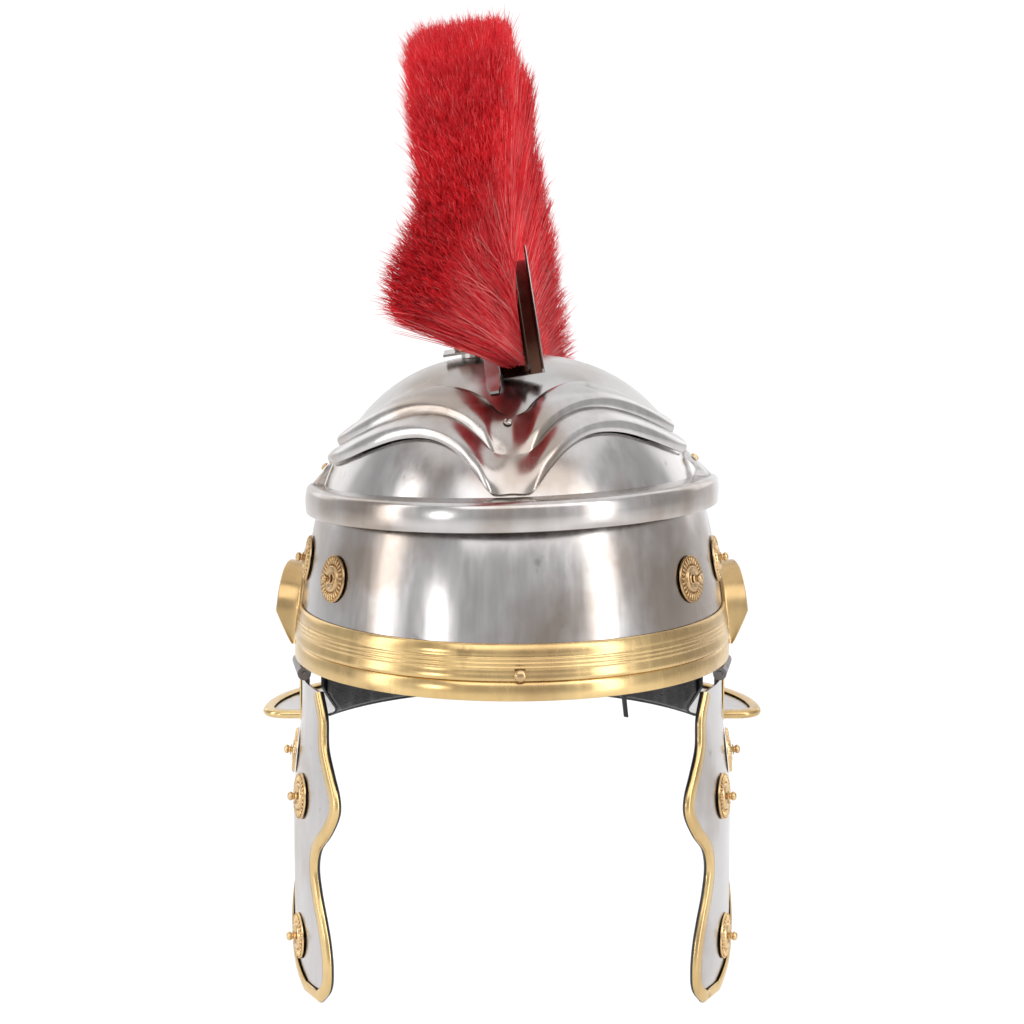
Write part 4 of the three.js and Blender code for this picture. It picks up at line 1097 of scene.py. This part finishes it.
# %% [markdown]
# Two straight strands are enough to start from. Each is a thin three-sided body, closed at the root and
# drawn to a point. Only the top of a short hair shows, so it has fewer bends than a long one, which lies in
# view along the brush's flank. Their widths are in units of the radius that the tree is given.

# %% Straight strands to start from
def straight_strand(name, stations):
    """A three-sided strand, one metre long, from pairs of height and radius."""
    verts = []
    corners = (0, 2 * math.pi / 3, 4 * math.pi / 3)
    for z, r in stations[:-1]:
        verts += [(r * math.cos(a), r * math.sin(a), z) for a in corners]
    verts.append((0, 0, stations[-1][0]))
    faces = [(2, 1, 0)]
    for i in range(len(stations) - 2):
        for j in range(3):
            k = (j + 1) % 3
            faces.append((3 * i + j, 3 * i + k, 3 * i + 3 + k, 3 * i + 3 + j))
    last = 3 * (len(stations) - 2)
    faces += [(last + j, last + (j + 1) % 3, len(verts) - 1) for j in range(3)]
    mesh = bpy.data.meshes.new(name)
    mesh.from_pydata(verts, [], faces)
    mesh.shade_smooth()
    return bpy.data.objects.new(name, mesh)


short_strand = straight_strand("short_strand", [(0, 1), (0.5, 1), (0.85, 0.75), (1, 0)])
long_strand = straight_strand("long_strand", [(0, 0.8), (0.3, 1), (0.6, 1), (0.86, 0.7), (1, 0)])
print("faces a strand:", len(short_strand.data.polygons), len(long_strand.data.polygons))

# %% [markdown]
# Real hair stands in small tufts. Two slow waves across the brush move neighbouring tips together and give
# them a common tone, and chance moves each hair a little more. A few hairs in a hundred fly out. At the
# front, no hair leans out past the end of the brush.

# %% Roots, middles and tips of every hair
SHORT = {"count": 9800, "radius": 0.17, "stray": 1.9, "flying": 0.06, "flying_stray": 4.0}
# pale is the share of flank hairs lifted to pink: painted highlights.
LONG = {"count": 6800, "radius": 0.16, "stray": 1.8, "root": 96, "at_ends": 0.12, "pale": 0.035}
FRONT_LIMIT = -68.4
chance = random.Random(71)


def tuft(degrees, u):
    """Two slow waves over the brush, which neighbouring hairs share."""
    a = math.sin(degrees * 1.9 + 3.1 * math.sin(u * 4.3 + degrees * 0.21))
    b = math.sin(u * 11.0 + degrees * 0.83 + 1.7 * math.sin(degrees * 0.47))
    return a, b


def crest_curve(degrees, u, start, end, stray, bow, tip_turn=0.0):
    """Root, middle and tip of one hair, in metres. It bows sideways, and its tip strays."""
    a, b = tuft(degrees, u)
    half_way = (start + end) / 2
    root = crest_point(degrees, start, brush_x(degrees, u, start))
    turn = max(degrees + tip_turn + 0.3 * a + chance.gauss(0, stray * 0.35), chance.gauss(FRONT_LIMIT, 1.1))
    turn_in_table = min(max(turn, TIPS[0]["angle"]), TIPS[-1]["angle"])
    across = brush_x(turn_in_table, u, end) + 0.5 * b + chance.gauss(0, stray)
    tip = crest_point(turn, end, across)
    through = crest_point((degrees + turn) / 2, half_way, brush_x(degrees, u, half_way) + bow)
    middle = through * 2 - (root + tip) / 2
    return root * MM, middle * MM, tip * MM, min(max(0.58 + 0.14 * a * b + chance.gauss(0, 0.17), 0), 1)


def short_hairs(start, end):
    """Clipped tips, seen from their ends all over the top of the brush."""
    hairs = []
    for _ in range(SHORT["count"]):
        degrees = chance.uniform(start, end)
        u = chance.uniform(-1, 1)
        flies = chance.random() < SHORT["flying"]
        length = BRUSH["tip"] - 1.0 + chance.gauss(0, 2.2) + (chance.uniform(1, 5) if flies else 0)
        length -= 3.5 * abs(u) ** 6
        u *= 1 + 0.12 * abs(u) ** 3
        stray = SHORT["flying_stray" if flies else "stray"]
        hairs.append(crest_curve(degrees, u, chance.uniform(160, 172), length, stray, chance.gauss(0, 0.6)))
    return hairs


def long_hairs(side):
    """Hairs of a flank, lying one over another from the core to the tips, and some across both ends."""
    hairs = []
    for _ in range(LONG["count"]):
        degrees = chance.uniform(BRUSH["start"], BRUSH["end"])
        u = side * (1.02 - 0.2 * chance.random() ** 1.6)
        if chance.random() < LONG["at_ends"]:
            degrees = chance.choice((BRUSH["start"], BRUSH["end"])) + chance.gauss(0, 0.5)
            u = chance.uniform(0, side * 1.0)
        share = 1.0 if chance.random() < 0.55 else chance.uniform(0.45, 1.0)
        end = LONG["root"] + (BRUSH["tip"] - 4 - LONG["root"]) * share + chance.gauss(0, 2)
        flick = side * abs(chance.gauss(0, 1.6)) * (2.4 if chance.random() < 0.05 else 1)
        start = chance.uniform(88, LONG["root"])
        root, middle, tip, tone_and_sheen = crest_curve(degrees, u, start, end, LONG["stray"], side * 0.8,
                                              chance.gauss(0, 2.2))
        tip.x += flick * MM
        # The +X flank is lighter than the other: painted light shining through its hairs. Pale strands are
        # painted pink highlights.
        tone_and_sheen += 0.16 if side > 0 else 0.06
        hairs.append((root, middle, tip, min(tone_and_sheen + (0.4 if chance.random() < LONG["pale"] else 0), 1)))
    return hairs


def grow(name, hairs, strand, radius):
    """Puts every hair's numbers on a point, and lets the tree grow the hairs there."""
    mesh = bpy.data.meshes.new(name)
    mesh.from_pydata([h[0] for h in hairs], [], [])
    for attribute, place in (("middle", 1), ("tip", 2)):
        values = mesh.attributes.new(attribute, "FLOAT_VECTOR", "POINT")
        values.data.foreach_set("vector", [c for h in hairs for c in h[place]])
    tones = mesh.attributes.new("tone_and_sheen", "FLOAT", "POINT")
    tones.data.foreach_set("value", [h[3] for h in hairs])
    piece = add_object(name, mesh)
    run_tree(piece, hair_tree, hair_inputs, Strand=strand, Radius=radius * MM, Material=red_hair)
    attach(piece, "helmet")
    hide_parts("crest_brush")
    print(name, len(hairs), "hairs,", len(piece.data.polygons), "faces")
    return piece


for name, start, end in (("front", -68.5, -20), ("top", -20, 35), ("rear", 35, 100.5)):
    grow(f"hair_{name}", short_hairs(start, end), short_strand, SHORT["radius"])
for side, word in SIDES:
    grow(f"hair_flank_{word}", long_hairs(side), long_strand, LONG["radius"])
for strand in (short_strand, long_strand):
    bpy.data.objects.remove(strand, do_unlink=True)

# %% [markdown]
# The stage is a pale floor that curves up into a backdrop. Polished metal shows its surroundings more than
# its own colour, so the light is built for reflection: two tall soft boxes make the upright streaks on the
# bowl, a small one the bright spot between them, and wide ones and a ceiling fill a pale room. The view
# transform is Standard, so that the backdrop stays white and the brass keeps its colour.

# %% Floor, light and camera
ROOM = {"floor": -0.30, "front": -30.0, "middle": -6.0, "back": 1.9, "top": 4.0, "bend": 0.6,
        "half_width": 30.0}
LAMP_RADIUS = 1.7
LAMPS = table(
    ("name", "azimuth", "z", "size", "power"),
    ("streak_right", -75, 0.35, (0.42, 1.7), 7),
    ("spot_right", -42, 0.10, (0.26, 0.26), 1.7),
    ("streak_left", 53, 0.35, (0.42, 1.7), 8.5),
    ("fill_right", -138, 0.8, (0.9, 1.4), 2.5),
    ("fill_left", 138, 0.8, (0.9, 1.4), 2.5),
    ("fill_front", 8, 1.5, (3.4, 1.4), 24),
)
CAMERA = {"lens": 91.4, "sensor": 36, "distance": 1.314, "aim_z": 0.070, "rise": math.radians(8.3)}


def backdrop():
    floor, bend, start = ROOM["floor"], ROOM["bend"], ROOM["back"] - ROOM["bend"]
    profile = [(ROOM["front"], floor), (ROOM["middle"], floor), (start, floor)]
    profile += [(start + bend * math.sin(a), floor + bend - bend * math.cos(a))
                for a in radians(*range(6, 91, 6))]
    profile.append((ROOM["back"], ROOM["top"]))
    verts = [(x, y, z) for y, z in profile for x in (-ROOM["half_width"], ROOM["half_width"])]
    faces = [(2 * i, 2 * i + 1, 2 * i + 3, 2 * i + 2) for i in range(len(profile) - 1)]
    mesh = bpy.data.meshes.new("backdrop")
    mesh.from_pydata(verts, [], faces)
    mesh.shade_smooth()
    material, _, shader = new_material("pale_floor")
    shader.inputs["Base Color"].default_value = (0.92, 0.92, 0.92, 1)
    shader.inputs["Roughness"].default_value = 0.9
    mesh.materials.append(material)
    piece = add_object("backdrop", mesh)


def soft_box(name, place, aim, size, power):
    light = bpy.data.lights.new(name, "AREA")
    light.shape = "RECTANGLE"
    light.size, light.size_y = size
    light.energy = power
    piece = add_object(name, light)
    piece.location = place
    piece.rotation_euler = (Vector(aim) - Vector(place)).to_track_quat("-Z", "Y").to_euler()


backdrop()
for lamp in LAMPS:
    turn = math.radians(lamp["azimuth"])
    place = (LAMP_RADIUS * math.sin(turn), -LAMP_RADIUS * math.cos(turn), lamp["z"])
    soft_box(lamp["name"], place, (0, 0, 0.05), lamp["size"], lamp["power"])
soft_box("ceiling", (0, 0.7, 2.4), (0, 0.7, 0), (4.5, 3.4), 29)
world = bpy.data.worlds.new("studio")
world.use_nodes = True
room = next(n for n in world.node_tree.nodes if n.type == "BACKGROUND")
room.inputs["Color"].default_value = (0.6, 0.6, 0.61, 1)
room.inputs["Strength"].default_value = 1.02
bpy.context.scene.world = world
bpy.context.scene.view_settings.view_transform = "Standard"

lens = bpy.data.cameras.new("camera")
lens.lens, lens.sensor_width = CAMERA["lens"], CAMERA["sensor"]
camera = add_object("camera", lens)
rise, distance = CAMERA["rise"], CAMERA["distance"]
camera.location = (0, -distance * math.cos(rise), CAMERA["aim_z"] + distance * math.sin(rise))
camera.rotation_euler = (math.pi / 2 - rise, 0, 0)
bpy.context.scene.camera = camera
print("camera at", [round(c, 3) for c in camera.location])
